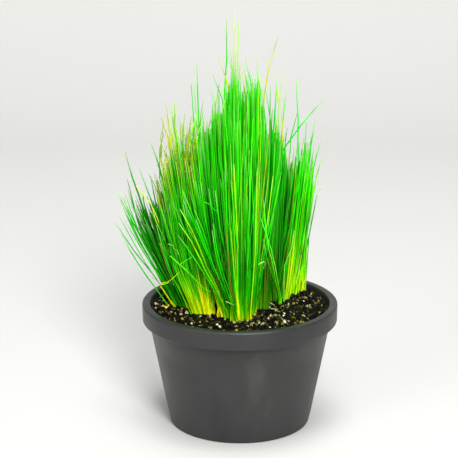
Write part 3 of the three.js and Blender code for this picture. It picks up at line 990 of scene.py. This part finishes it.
def growRandomStems(tuft):
    rng = random.Random(stems["seed"] * 1000 + tuft.number)
    atLeft = tuft.crown.x < stems["leftEnd"]
    for _ in range(round(stems["perTuft"] * (stems["leftShare"] if atLeft else 1))):
        way = randomWay(rng)
        place = way * math.sqrt(rng.random())
        if rng.random() < stems["stragglers"]:
            place *= stems["stragglerReach"]
        longest = tuft.height * mix(tuft.bundleLengthAt(way), stems["longest"], 0.5)
        length = longest * mix(1, stems["shortest"], rng.random() ** stems["shortSeldom"])
        if tuft.crown.x > stems["rightEnd"]:
            length *= stems["rightLonger"]
        if isIn(tuft.crown.x, stems["thicketFeet"]):
            length *= stems["thicketLonger"]
        stray = strayOf(tuft, rng)
        bend = randomWay(rng) * rng.uniform(0, stems["bend"])

        def pointAt(level):
            up = max(level, 0)
            point = tuft.wayAt(place, level) + stray * up + bend * (up / tuft.height) ** 2
            return Vector((point.x, point.y, tuft.foot + level))

        length = cutToMass(pointAt, length, rng)
        path = [pointAt(mix(-stems["rootDepth"], length, share)) for share in stems["steps"]]
        look = randomLook(path[1], rng)
        tip = path[-1]
        if isIn(tip.x, stems["yellowTop"]) and tip.z > soil + stems["yellowAbove"]:
            if rng.random() < stems["yellowTops"]:
                dryTop(look, rng)
        thickness = rng.uniform(*stems["thickness"])
        thickness *= stems["paleThinner"] if look["tone"] > 0.3 else 1
        thickness *= stems["leftThicker"] if atLeft else 1
        tuft.guides.add(path, look, taper(stems["radius"] * thickness))


def placeFor(points, rng):  # the tuft that a seen stem grows from, and its place in it
    tip, (lowX, lowUp) = points[0], points[-1]
    for (number, bundle), end in claimed.items():
        if math.dist(tip, (end.x, seenUp(end))) < 1:
            return tufts[number], bundleWay(number, bundle) * bundleReach(number, bundle)
    if lowUp < shown["footBelow"]:
        foot = soilSeenAt(lowX, lowUp).xy
        tuft = min(tufts, key=lambda tuft: (tuft.crown - foot).length)
        most = shown["footAside"]
        x = min(max((foot.x - tuft.crown.x) / tuft.waist, -most), most)
        return tuft, Vector((x, -shown["footForward"] * math.sqrt(1 - x * x)))
    middle = Vector((0, 0))

    def off(tuft):
        way = tuft.wayAt(middle, tuft.levelSeen(middle, lowUp))
        aside = abs(way.x - lowX) + clump["midwayPull"] * abs(way.y)
        return aside + shown["crowding"] * tuft.seenStems

    tuft = min(tufts, key=off)
    level = tuft.levelSeen(middle, lowUp)
    x = (lowX - tuft.wayAt(middle, level).x) / tuft.roomOf(level)
    x = min(max(x, -shown["wayAside"]), shown["wayAside"])
    return tuft, Vector((x, rng.uniform(*shown["wayBehind"]) * math.sqrt(1 - x * x)))


def growSeenStem(name, points, rng):
    tuft, place = placeFor(points, rng)
    tuft.seenStems += 1
    marks = [(tuft.levelSeen(place, up), x) for x, up in reversed(points)]
    lowest, lowX = marks[0]
    alone = lowest > 1  # its lower part is out of sight
    shift = lowX - tuft.wayAt(place, lowest).x
    hiddenLevels = [-stems["rootDepth"]]
    if alone:
        parts = math.ceil(lowest / stems["longestStep"])
        hiddenLevels += [lowest * part / parts for part in range(parts)]
    path = []
    for level in hiddenLevels:
        point = tuft.wayAt(place, level)
        point.x += shift * (smooth(level / lowest) if alone else 1)
        path.append(Vector((point.x, point.y, tuft.foot + level)))
    for (level, x), (nextLevel, nextX) in zip(marks, marks[1:] + marks[-1:]):
        parts = max(math.ceil((nextLevel - level) / stems["longestStep"]), 1)
        for part in range(parts):
            here, across = mixPair((level, x), (nextLevel, nextX), part / parts)
            path.append(Vector((across, tuft.wayAt(place, here).y, tuft.foot + here)))
    hidden = len(hiddenLevels) if alone else 0
    radius = stems["radius"] * rng.uniform(1, 1.2) * (shown["aloneThicker"] if alone else 1)
    look = lookNamed(name, rng)
    # painted darker, since a stem out of the mass gets the full light
    if alone:
        look["shade"] *= shown["aloneShade"]
    tuft.guides.add(path, look, taper(radius), hidden)
    for _ in range(companionsOf(points[0], lowX, alone)):
        addCompanion(tuft, name, path, rng, hidden)
    return [(tuft, point.x, seenUp(point), point.y) for point in path]


def companionsOf(tip, lowX, alone):
    if alone:
        return shown["thicketCompanions"] if isIn(tip[0], stems["thicket"]) else 0
    inMass = lowX > shown["companionsFrom"] and tip[1] > shown["companionsAbove"]
    return shown["companions"] if inMass else 0


def addCompanion(tuft, name, path, rng, hidden):  # a like stem close by, a little shorter or longer
    kind, apart = (1 if hidden else 0), shown["apart"]
    aside = Vector((rng.gauss(0, apart), rng.uniform(*shown["behind"]), 0))
    tipApart = apart * shown["apartAtTip"]
    tipAside = Vector((rng.gauss(0, tipApart), rng.uniform(*shown["behindAtTip"]), 0))
    foot, height = path[0], path[-1].z - path[0].z
    stretch = rng.uniform(*shown["stretch"][kind])
    near = []
    for point in path:
        up = (point.z - foot.z) / height
        moved = point + aside * mix(shown["apartAtFoot"], 1, up) + tipAside * up * up
        moved.z = foot.z + (point.z - foot.z) * stretch
        near.append(moved)
    alike = rng.random() < shown["alike"][kind]
    look = lookNamed(name if alike else "green", rng)
    rules = rulesAt(near[1])
    look["glow"], look["glowReach"] = rng.uniform(*rules["glow"]), rng.uniform(*rules["glowReach"])
    tuft.guides.add(near, look, taper(stems["radius"] * rng.uniform(0.8, 1.1)), hidden)


def addBit(name, points, radiusOf, forward, hosts, rng):  # in front of the nearest seen stem
    tuft, _, _, y = min(hosts, key=lambda host: math.dist(host[1:3], points[0]))
    path = [fromSeen(x, up, y - forward) for x, up in points]
    tuft.guides.add(path, lookNamed(name, rng), radiusOf)


class Front:  # the clump's surface as the front shows it, in cells

    def __init__(self):
        self.nearest = {}
        for tuft in tufts:
            points = tuft.guides.points
            for k, after in tuft.guides.edges:
                self.addRun(points[k] / mm, points[after] / mm, tuft.number)

    def addRun(self, start, end, number):
        parts = max(math.ceil((end - start).length / shown["cell"]), 1)
        for part in range(parts):
            point = start.lerp(end, part / parts)
            key = self.cellOf(point.x, seenUp(point))
            self.nearest[key] = min(self.nearest.get(key, (math.inf, None)), (point.y, number))

    def cellOf(self, x, up):
        return round(x / shown["cell"]), round(up / shown["cell"])

    def at(self, x, up):  # the depth and the tuft that are nearest in the cells around
        across, rise = self.cellOf(x, up)
        around = [(across + i, rise + j) for i in (-1, 0, 1) for j in (-1, 0, 1)]
        return min((self.nearest[key] for key in around if key in self.nearest), default=None)


def tautOver(depths):  # the straight runs that pass in front of every depth, as a held thread does
    corners = []
    for k, depth in enumerate(depths):
        while len(corners) > 1:
            (k0, depth0), (k1, depth1) = corners[-2:]
            if (depth1 - depth0) * (k - k0) < (depth - depth0) * (k1 - k0):
                break
            corners.pop()
        corners.append((k, depth))
    runs = [mix(depth0, depth1, (k - k0) / (k1 - k0))
            for (k0, depth0), (k1, depth1) in zip(corners, corners[1:]) for k in range(k0, k1)]
    return runs + [depths[-1]]


def layOver(name, points, front, rng, radiusOf, root=0):  # a thread or stem over the clump's front
    finer = [points[0]]
    for before, point in zip(points, points[1:]):
        parts = max(math.ceil(math.dist(before, point) / shown["cell"]), 1)
        finer += [mixPair(before, point, k / parts) for k in range(1, parts + 1)]
    found = [front.at(x, up) for x, up in finer]
    met = [hit for hit in found if hit]
    depths = tautOver([(hit or min(met))[0] for hit in found])
    path = []
    for k, (x, up) in enumerate(finer):
        near = depths[max(k - 2, 0):k + 3]
        path.append(fromSeen(x, up, sum(near) / len(near) - shown["forward"]))
    if root:
        path.insert(0, path[0] - Vector((0, 0, root)))
    tufts[min(met)[1]].guides.add(path, lookNamed(name, rng), radiusOf)


def bitRadius(share):  # half as thick at its end
    return shown["bitRadius"] * mix(1, 0.5, share)


def spikeletRadius(share):  # a spindle
    return shown["spikeletRadius"] * max(math.sin(math.pi * share), 0.15) ** 0.8


def makeStemTree():
    tree = newTree("sweepStems", [("Sides", "Int"), ("Material", "Material")])
    start = addNode(tree, "NodeGroupInput")
    curve = addNode(tree, "GeometryNodeMeshToCurve", {"Mesh": start.outputs["Geometry"]})
    section = addNode(tree, "GeometryNodeCurvePrimitiveCircle", {
        "Resolution": start.outputs["Sides"], "Radius": 1.0,
    })
    swept = addNode(tree, "GeometryNodeCurveToMesh", {
        "Curve": curve.outputs["Curve"], "Profile Curve": section.outputs["Curve"],
        "Scale": stored(tree, "thickness"), "Fill Caps": True,
    })
    smoothed = addNode(tree, "GeometryNodeSetShadeSmooth", {"Geometry": swept.outputs["Mesh"]})
    endTree(tree, start, smoothed.outputs["Geometry"])
    return tree


tufts = [Tuft(number) for number in range(len(places))]
for tuft in tufts:
    growRandomStems(tuft)
seenRandom = random.Random(stems["seed"])
hosts = []
for name, points in seen["stems"]:
    hosts += growSeenStem(name, points, seenRandom)
for name, points in seen["bits"]:
    addBit(name, points, bitRadius, shown["bitForward"], hosts, seenRandom)
front = Front()
for name, points in seen["strewn"]:
    layOver(name, points, front, seenRandom, bitRadius)
for name, (low, high) in seen["spikelets"]:
    spine = [mixPair(low, high, k / 6) for k in range(7)]
    addBit(name, spine, spikeletRadius, 0, hosts, seenRandom)
for name, points in seen["leaning"]:
    layOver(name, points, front, seenRandom, taper(shown["leaningRadius"]), stems["rootDepth"])
stemMaterial = makeStemMaterial()
stemTree = makeStemTree()
stemPieces = []
for tuft in tufts:
    name = f"stems_{tuft.number + 1:02d}"
    piece = addObject(name, tuft.guides.mesh(name))
    useTree(piece, stemTree, {"Sides": stems["sides"], "Material": stemMaterial})
    stemPieces.append(piece)
bakeDown(stemPieces)
print("stems:", sum(len(piece.data.polygons) for piece in stemPieces), "faces")


# Gravel: a dark heap that fills the pot, with loose grains over its top

gravel = {
    "sides": 144,
    "ringStep": 0.8,
    "sink": 0.55,  # of the heap under the grains' middle
    "lump": 0.5,
    "lumpGrains": (0.6, 1.4),  # coarse and fine, the fine half as high
    "tone": 0.2,
    "smallDistance": 0.92,
    "largeDistance": 1.9,
    # Least and most radii of the grains, and their faces
    "smallGrain": {"least": (0.4, 0.35, 0.3), "most": (0.8, 0.7, 0.6), "sides": 5, "rings": 4},
    "largeGrain": {"least": (0.45, 0.4, 0.35), "most": (1.1, 0.9, 0.75), "sides": 7, "rings": 5},
    "chips": 0.34,  # how far corners of the grains are pushed in or out
    "edge": 1.1,  # kept clear of the pot
    "rods": [  # two ends seen from the front, radius, tone
        ((10.7, -1.0), (12.5, -2.3), 0.24, 0.99),
        ((11.2, -3.2), (12.8, -3.5), 0.24, 0.98),
    ],
    "rodShape": [(0, 0.6), (0.12, 1), (0.6, 1.05), (0.9, 0.85), (1, 0.5)],  # along it, and thickness
    "rodLift": 0.75,
    "rodTilt": 0.3,
    "flakes": [((-27.0, -2.6), 2.6, 1.2)],  # place seen from the front, size, tone
    "flakeGrid": (7, 5),
    "flakeThick": 0.14,
    "flakeLift": 0.35,
    "flakeNarrow": 0.7,
    "flakeCurl": 0.32,
    "seed": 4,
}


def makeGravelMaterial():
    material, tree, shader = newMaterial("darkGravel")
    tone = attribute(tree, "grainTone")
    colour = ramp(tree, tone, [
        (0.0, (0.001, 0.001, 0.001)), (0.55, (0.004, 0.0035, 0.001)), (0.75, (0.014, 0.012, 0.003)),
        (0.85, (0.07, 0.062, 0.014)), (0.93, (0.22, 0.2, 0.05)), (0.985, (0.5, 0.45, 0.22)),
        (1.0, (0.85, 0.83, 0.7)),
    ])
    isFlake = addNode(tree, "ShaderNodeMath", {0: tone, 1: 1.1}, operation="GREATER_THAN")
    colour = mixColour(tree, isFlake.outputs[0], colour, (0.8, 0.55, 0.06))
    colour = mottled(tree, colour, noiseAt(tree, 1900), (0.35, 0.65, 0.35, 1.5))
    tree.links.new(colour, shader.inputs["Base Color"])
    tree.links.new(mapRange(tree, noiseAt(tree, 900), 0.3, 0.7, 0.3, 0.75), shader.inputs["Roughness"])
    shader.inputs["Specular IOR Level"].default_value = 0.08
    addBump(tree, shader, noiseAt(tree, 4200, detail=5.0), 0.5, 0.0001)
    return material


def addRod(mesh, tones, fromSide, toSide, radius, tone):  # a short straight bit of pale stem
    start, end = soilSeenAt(*fromSide), soilSeenAt(*toSide)
    start.z += gravel["rodLift"]
    end.z += gravel["rodLift"] + gravel["rodTilt"]
    turn = (end - start).to_track_quat("Z", "Y")
    corners = [turn @ Vector((x, y, 0)) for x, y in circle(1, 8)]
    rings = []
    for share, thick in gravel["rodShape"]:
        middle = start.lerp(end, share)
        rings.append([mesh.verts.new((middle + corner * radius * thick) * mm) for corner in corners])
    bridge(mesh, rings)
    mesh.faces.new(rings[-1])
    tones += [tone] * len(corners) * len(rings)


def addFlake(mesh, tones, seenAt, size, tone):  # a curled yellow scrap, with a thin edge
    middle = soilSeenAt(*seenAt)
    across, along = gravel["flakeGrid"]
    sides = []
    for lift in (0.0, gravel["flakeThick"]):
        rows = []
        for i in range(across):
            row = []
            for j in range(along):
                u, v = i / (across - 1) - 0.5, j / (along - 1) - 0.5
                wave = 0.9 * (2 * u) ** 2 + 0.5 * v * v + 0.25 * math.sin(9 * u + 4 * v)
                reach = 1 - 0.5 * abs(v) - 0.3 * (math.sin(5 * u + 2) > 0.6)  # a ragged edge
                height = gravel["flakeLift"] + wave * size * gravel["flakeCurl"] + lift
                at = middle + Vector((u * size * reach, v * size * gravel["flakeNarrow"], height))
                row.append(mesh.verts.new(at * mm))
            rows.append(row)
        sides.append(rows)
    under, over = sides
    for i in range(across - 1):
        for j in range(along - 1):
            mesh.faces.new((over[i][j], over[i + 1][j], over[i + 1][j + 1], over[i][j + 1]))
            mesh.faces.new((under[i][j], under[i][j + 1], under[i + 1][j + 1], under[i + 1][j]))
    border = [(i, 0) for i in range(across)] + [(across - 1, j) for j in range(1, along)]
    border += [(i, along - 1) for i in range(across - 2, -1, -1)]
    border += [(0, j) for j in range(along - 2, 0, -1)]
    for (i, j), (k, l) in zip(border, border[1:] + border[:1]):
        mesh.faces.new((under[i][j], under[k][l], over[k][l], over[i][j]))
    tones += [tone] * 2 * across * along


def makeHeap(name):
    sides, sink = gravel["sides"], gravel["sink"]
    bottom = layout["potFloor"] + layout["gap"]
    knee = bottom + layout["floorFillet"]
    topRings = round(gravelRadius / gravel["ringStep"])
    mesh = bmesh.new()

    def ring(radius, heightAt):
        return [
            mesh.verts.new((x * mm, y * mm, heightAt(x, y) * mm)) for x, y in circle(radius, sides)
        ]

    def surfaceAt(x, y):
        coarse, fine = gravel["lumpGrains"]
        lump = noise.noise(Vector((x, y, 0)) * coarse) + 0.5 * noise.noise(Vector((x, y, 5)) * fine)
        return gravelTop(x, y) - sink + gravel["lump"] * lump

    rings = [
        ring(innerRadiusAt(bottom) - layout["floorFillet"] - layout["gap"], lambda x, y: bottom),
        ring(innerRadiusAt(knee) - layout["gap"], lambda x, y: knee),
    ]
    rings += [ring(gravelRadius * r / topRings, surfaceAt) for r in range(topRings, 0, -1)]
    bridge(mesh, rings)
    middle = mesh.verts.new((0, 0, surfaceAt(0, 0) * mm))
    for k in range(sides):
        mesh.faces.new((rings[-1][k], rings[-1][(k + 1) % sides], middle))
    # Grains lie on the top, not on the floor of the pot, and stay clear of its wall
    reach, lowest = (gravelRadius - gravel["edge"]) * mm, (gravelEdge - 3) * mm
    bed = [1.0 if v.co.xy.length < reach and v.co.z > lowest else 0.0 for v in mesh.verts]
    tones = [gravel["tone"]] * len(bed)
    for rod in gravel["rods"]:
        addRod(mesh, tones, *rod)
    for flake in gravel["flakes"]:
        addFlake(mesh, tones, *flake)
    bed += [0.0] * (len(tones) - len(bed))
    heap = plainMesh(name, mesh)
    heap.attributes.new("bed", "FLOAT", "POINT").data.foreach_set("value", bed)
    heap.attributes.new("grainTone", "FLOAT", "POINT").data.foreach_set("value", tones)
    return heap


def randomOf(tree, seed, kind, low, high, offset):
    node = addNode(tree, "FunctionNodeRandomValue", data_type=kind)
    ends = [socket for socket in node.inputs if socket.enabled]
    ends[0].default_value, ends[1].default_value = low, high
    shifted = addNode(tree, "FunctionNodeIntegerMath", {0: seed, 1: offset})
    tree.links.new(shifted.outputs[0], node.inputs["Seed"])
    return next(socket for socket in node.outputs if socket.enabled)


def joined(tree, parts):
    join = addNode(tree, "GeometryNodeJoinGeometry")
    for part in parts:
        tree.links.new(part, join.inputs["Geometry"])
    return join.outputs["Geometry"]


def strewGrains(tree, start, distance, seedOffset, shape):  # turned and toned at random
    shifted = addNode(tree, "FunctionNodeIntegerMath", {0: start.outputs["Seed"], 1: seedOffset})
    seed = shifted.outputs[0]
    points = addNode(tree, "GeometryNodeDistributePointsOnFaces", {
        "Mesh": start.outputs["Geometry"], "Distance Min": start.outputs[distance],
        "Density Max": 3e6, "Density Factor": stored(tree, "bed"), "Seed": seed,
    }, distribute_method="POISSON")
    toned = addNode(tree, "GeometryNodeStoreNamedAttribute", {
        "Geometry": points.outputs["Points"], "Name": "grainTone",
        "Value": randomOf(tree, seed, "FLOAT", 0.0, 1.0, 11),
    }, data_type="FLOAT", domain="POINT")
    grain = addNode(tree, "GeometryNodeMeshUVSphere", {
        "Segments": shape["sides"], "Rings": shape["rings"], "Radius": 1.0,
    })
    least, most = ([radius * mm for radius in shape[end]] for end in ("least", "most"))
    placed = addNode(tree, "GeometryNodeInstanceOnPoints", {
        "Points": toned.outputs["Geometry"], "Instance": grain.outputs["Mesh"],
        "Rotation": randomOf(tree, seed, "FLOAT_VECTOR", (0, 0, 0), (6.3, 6.3, 6.3), 12),
        "Scale": randomOf(tree, seed, "FLOAT_VECTOR", least, most, 13),
    })
    real = addNode(tree, "GeometryNodeRealizeInstances", {"Geometry": placed.outputs["Instances"]})
    return real.outputs["Geometry"]


def chipped(tree, grains, most):  # corners pushed in or out, so that the grains are angular
    place = addNode(tree, "GeometryNodeInputPosition")
    chips = addNode(tree, "ShaderNodeTexNoise", {
        "Vector": place.outputs["Position"], "Scale": 1100.0, "Detail": 1.0,
    })
    least = addNode(tree, "ShaderNodeMath", {0: most, 1: -1.0}, operation="MULTIPLY")
    depth = mapRange(tree, chips.outputs["Fac"], 0.25, 0.75, least.outputs[0], most)
    outwards = addNode(tree, "GeometryNodeInputNormal")
    push = addNode(tree, "ShaderNodeVectorMath", {
        "Vector": outwards.outputs["Normal"], "Scale": depth,
    }, operation="SCALE")
    moved = addNode(tree, "GeometryNodeSetPosition", {
        "Geometry": grains, "Offset": push.outputs["Vector"],
    })
    return moved.outputs["Geometry"]


def makeGravelTree():
    tree = newTree("strewGrains", [
        ("Small Distance", "Float"), ("Large Distance", "Float"), ("Chips", "Float"), ("Seed", "Int"),
        ("Material", "Material"),
    ])
    start = addNode(tree, "NodeGroupInput")
    grains = joined(tree, [
        strewGrains(tree, start, "Small Distance", 1, gravel["smallGrain"]),
        strewGrains(tree, start, "Large Distance", 2, gravel["largeGrain"]),
    ])
    heap = start.outputs["Geometry"]
    endTree(tree, start, joined(tree, [chipped(tree, grains, start.outputs["Chips"]), heap]))
    return tree


gravelPiece = addObject("gravel_grains", makeHeap("gravel_grains"))
useTree(gravelPiece, makeGravelTree(), {
    "Small Distance": gravel["smallDistance"] * mm,
    "Large Distance": gravel["largeDistance"] * mm,
    "Chips": gravel["chips"] * mm,
    "Seed": gravel["seed"],
    "Material": makeGravelMaterial(),
})
bakeDown([gravelPiece])
print("gravel:", len(gravelPiece.data.polygons), "faces")


# Pot: a turned shell with a rolled rim, a collar and drain holes

pot = {
    "sides": 144,
    "edge": 0.8,
    "outerLevels": (4, 12, 20, 28),
    "innerLevels": (40, 30, 20, 10),
    "drainHoles": {"count": 6, "radius": 2.4, "ring": 15.5, "sides": 32},
}


def arc(middle, radius, fromDeg, toDeg, steps):
    points = []
    for k in range(steps + 1):
        angle = math.radians(mix(fromDeg, toDeg, k / steps))
        points.append((middle[0] + radius * math.cos(angle), middle[1] + radius * math.sin(angle)))
    return points


def potProfile():  # from the foot up the outside, over the rim and down to the floor
    edge, top = pot["edge"], layout["potHeight"]
    collarFoot = top - layout["collarHeight"]
    rim, foot, floor = layout["rimRadius"], layout["footRadius"], layout["potFloor"]
    inner = innerRadiusAt(top)
    fillet = layout["floorFillet"]
    return (
        [(foot - edge, 0)]
        + arc((foot - edge, edge), edge, -90, 0, 5)
        + [(bodyRadiusAt(z), z) for z in pot["outerLevels"]]
        + [(bodyRadiusAt(collarFoot - edge), collarFoot - edge)]
        + arc((rim - edge, collarFoot + edge), edge * 0.9, -80, 0, 5)
        + arc((rim - edge, top - edge), edge, 0, 90, 6)
        + arc((inner + edge * 0.8, top - edge * 0.8), edge * 0.8, 90, 180, 5)
        + [(innerRadiusAt(z), z) for z in pot["innerLevels"]]
        + arc((innerRadiusAt(floor) - fillet, floor + fillet), fillet, 0, -90, 5)
    )


def makePotMesh(name):
    mesh = bmesh.new()
    rings = [
        [mesh.verts.new((x, y, height * mm)) for x, y in circle(radius * mm, pot["sides"])]
        for radius, height in potProfile()
    ]
    bridge(mesh, rings)
    mesh.faces.new(rings[-1])
    bmesh.ops.remove_doubles(mesh, verts=mesh.verts, dist=1e-7)
    bmesh.ops.recalc_face_normals(mesh, faces=mesh.faces)
    for face in mesh.faces:
        face.smooth = len(face.verts) == 4
    return plainMesh(name, mesh)


def makeHoleCutters():
    mesh = bmesh.new()
    holes = pot["drainHoles"]
    radius = holes["radius"] * mm
    for x, y in circle(holes["ring"] * mm, holes["count"]):
        made = bmesh.ops.create_cone(
            mesh, cap_ends=True, segments=holes["sides"], radius1=radius, radius2=radius,
            depth=layout["potFloor"] * 3 * mm,
        )
        bmesh.ops.translate(mesh, verts=made["verts"], vec=(x, y, 0))
    return addObject("drainCutters", plainMesh("drainCutters", mesh))


def makePotMaterial():
    material, tree, shader = newMaterial("mouldedPlastic")
    scuffs = noiseAt(tree, 90, (1, 1, 0.3), 6.0)
    colour = ramp(tree, scuffs, [
        (0.3, (0.012, 0.013, 0.013)), (0.6, (0.022, 0.023, 0.022)), (0.8, (0.045, 0.045, 0.042)),
    ])
    tree.links.new(colour, shader.inputs["Base Color"])
    tree.links.new(mapRange(tree, scuffs, 0.3, 0.75, 0.36, 0.6), shader.inputs["Roughness"])
    shader.inputs["Specular IOR Level"].default_value = 0.45
    addBump(tree, shader, noiseAt(tree, 1800, detail=2.0), 0.12, 0.0001)
    return material


potPiece = addObject("pot_shell", makePotMesh("pot_shell"))
cutters = makeHoleCutters()
cut = potPiece.modifiers.new("drainHoles", "BOOLEAN")
cut.operation, cut.object, cut.solver = "DIFFERENCE", cutters, "EXACT"
potPiece.data.materials.append(makePotMaterial())
bakeDown([potPiece])
bpy.data.objects.remove(cutters)
print("pot:", len(potPiece.data.polygons), "faces")


# What each piece rides on and stands for; the kinds listed here are not used
kinds = ["lime_stems" if place.x >= 12 else "green_stems" for place in places]
nodes = [(piece, f"tuft_{k + 1:02d}", kinds[k]) for k, piece in enumerate(stemPieces)]
nodes += [(gravelPiece, "gravel", "gravel"), (potPiece, "pot", "pot")]
for piece, node, slot in nodes:
    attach(piece, "root")
    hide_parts(node)
print("pieces:", len(nodes))


# Studio: a pale sweep, soft light from above and the front, and a camera a little above

studio = {
    "floorColour": (0.62, 0.62, 0.6),
    "floorSize": 1.6,
    "floorWider": 1.5,
    "wallHeight": 1.12,
    "sweepRadius": 0.35,
    "sweepSteps": 16,
    "worldLight": 0.3,
    "lights": {  # place, size and power
        "keyLight": ((0.24, -1.04, 0.76), 0.45, 18.0),
        "fillLight": ((-0.9, -0.85, 0.5), 0.8, 5.5),
        "topLight": ((0.05, -0.15, 1.3), 0.6, 10.0),
    },
    "lightAim": (0, 0, 0.08),
    "aim": (-0.004, 0.0, 0.0735),
    "distance": 0.62,
    "elevation": 16,
    "frameHeight": 0.167,  # at the aim
}


def makeFloor():
    mesh = bmesh.new()
    half, curve, steps = studio["floorSize"] / 2, studio["sweepRadius"], studio["sweepSteps"]
    turns = [math.radians(90 * k / steps) for k in range(1, steps + 1)]
    profile = [(-half, 0), (half - curve, 0)]
    profile += [(half - curve + curve * math.sin(a), curve - curve * math.cos(a)) for a in turns]
    profile.append((half, studio["wallHeight"]))
    side = half * studio["floorWider"]
    left, right = ([mesh.verts.new((x, y, z)) for y, z in profile] for x in (-side, side))
    for k in range(len(profile) - 1):
        mesh.faces.new((left[k], right[k], right[k + 1], left[k + 1])).smooth = True
    floor = addObject("studioFloor", plainMesh("studioFloor", mesh))
    material, _, shader = newMaterial("paleFloor")
    shader.inputs["Base Color"].default_value = (*studio["floorColour"], 1)
    shader.inputs["Roughness"].default_value = 0.8
    floor.data.materials.append(material)
    return floor


def addLight(name, place, size, power):
    light = bpy.data.lights.new(name, "AREA")
    light.shape, light.size, light.energy = "DISK", size, power
    lamp = addObject(name, light)
    lamp.location = place
    towardsAim = Vector(studio["lightAim"]) - Vector(place)
    lamp.rotation_euler = towardsAim.to_track_quat("-Z", "Y").to_euler()


def addWorld():
    world = bpy.data.worlds.new("softLight")
    world.use_nodes = True
    background = world.node_tree.nodes["Background"]
    background.inputs["Color"].default_value = (1, 1, 1, 1)
    background.inputs["Strength"].default_value = studio["worldLight"]
    bpy.context.scene.world = world


def addCamera():
    optics = bpy.data.cameras.new("camera")
    camera = addObject("camera", optics)
    elevation = math.radians(studio["elevation"])
    back = Vector((0, -math.cos(elevation), math.sin(elevation)))
    camera.location = Vector(studio["aim"]) + back * studio["distance"]
    camera.rotation_euler = (math.pi / 2 - elevation, 0, 0)
    optics.sensor_width = 36
    optics.lens = optics.sensor_width * studio["distance"] / studio["frameHeight"]
    optics.clip_start = 0.01
    bpy.context.scene.camera = camera


makeFloor()
for name, (place, size, power) in studio["lights"].items():
    addLight(name, place, size, power)
addWorld()
addCamera()
bpy.context.scene.view_settings.view_transform = "Standard"
print("studio:", len(studio["lights"]), "lights")
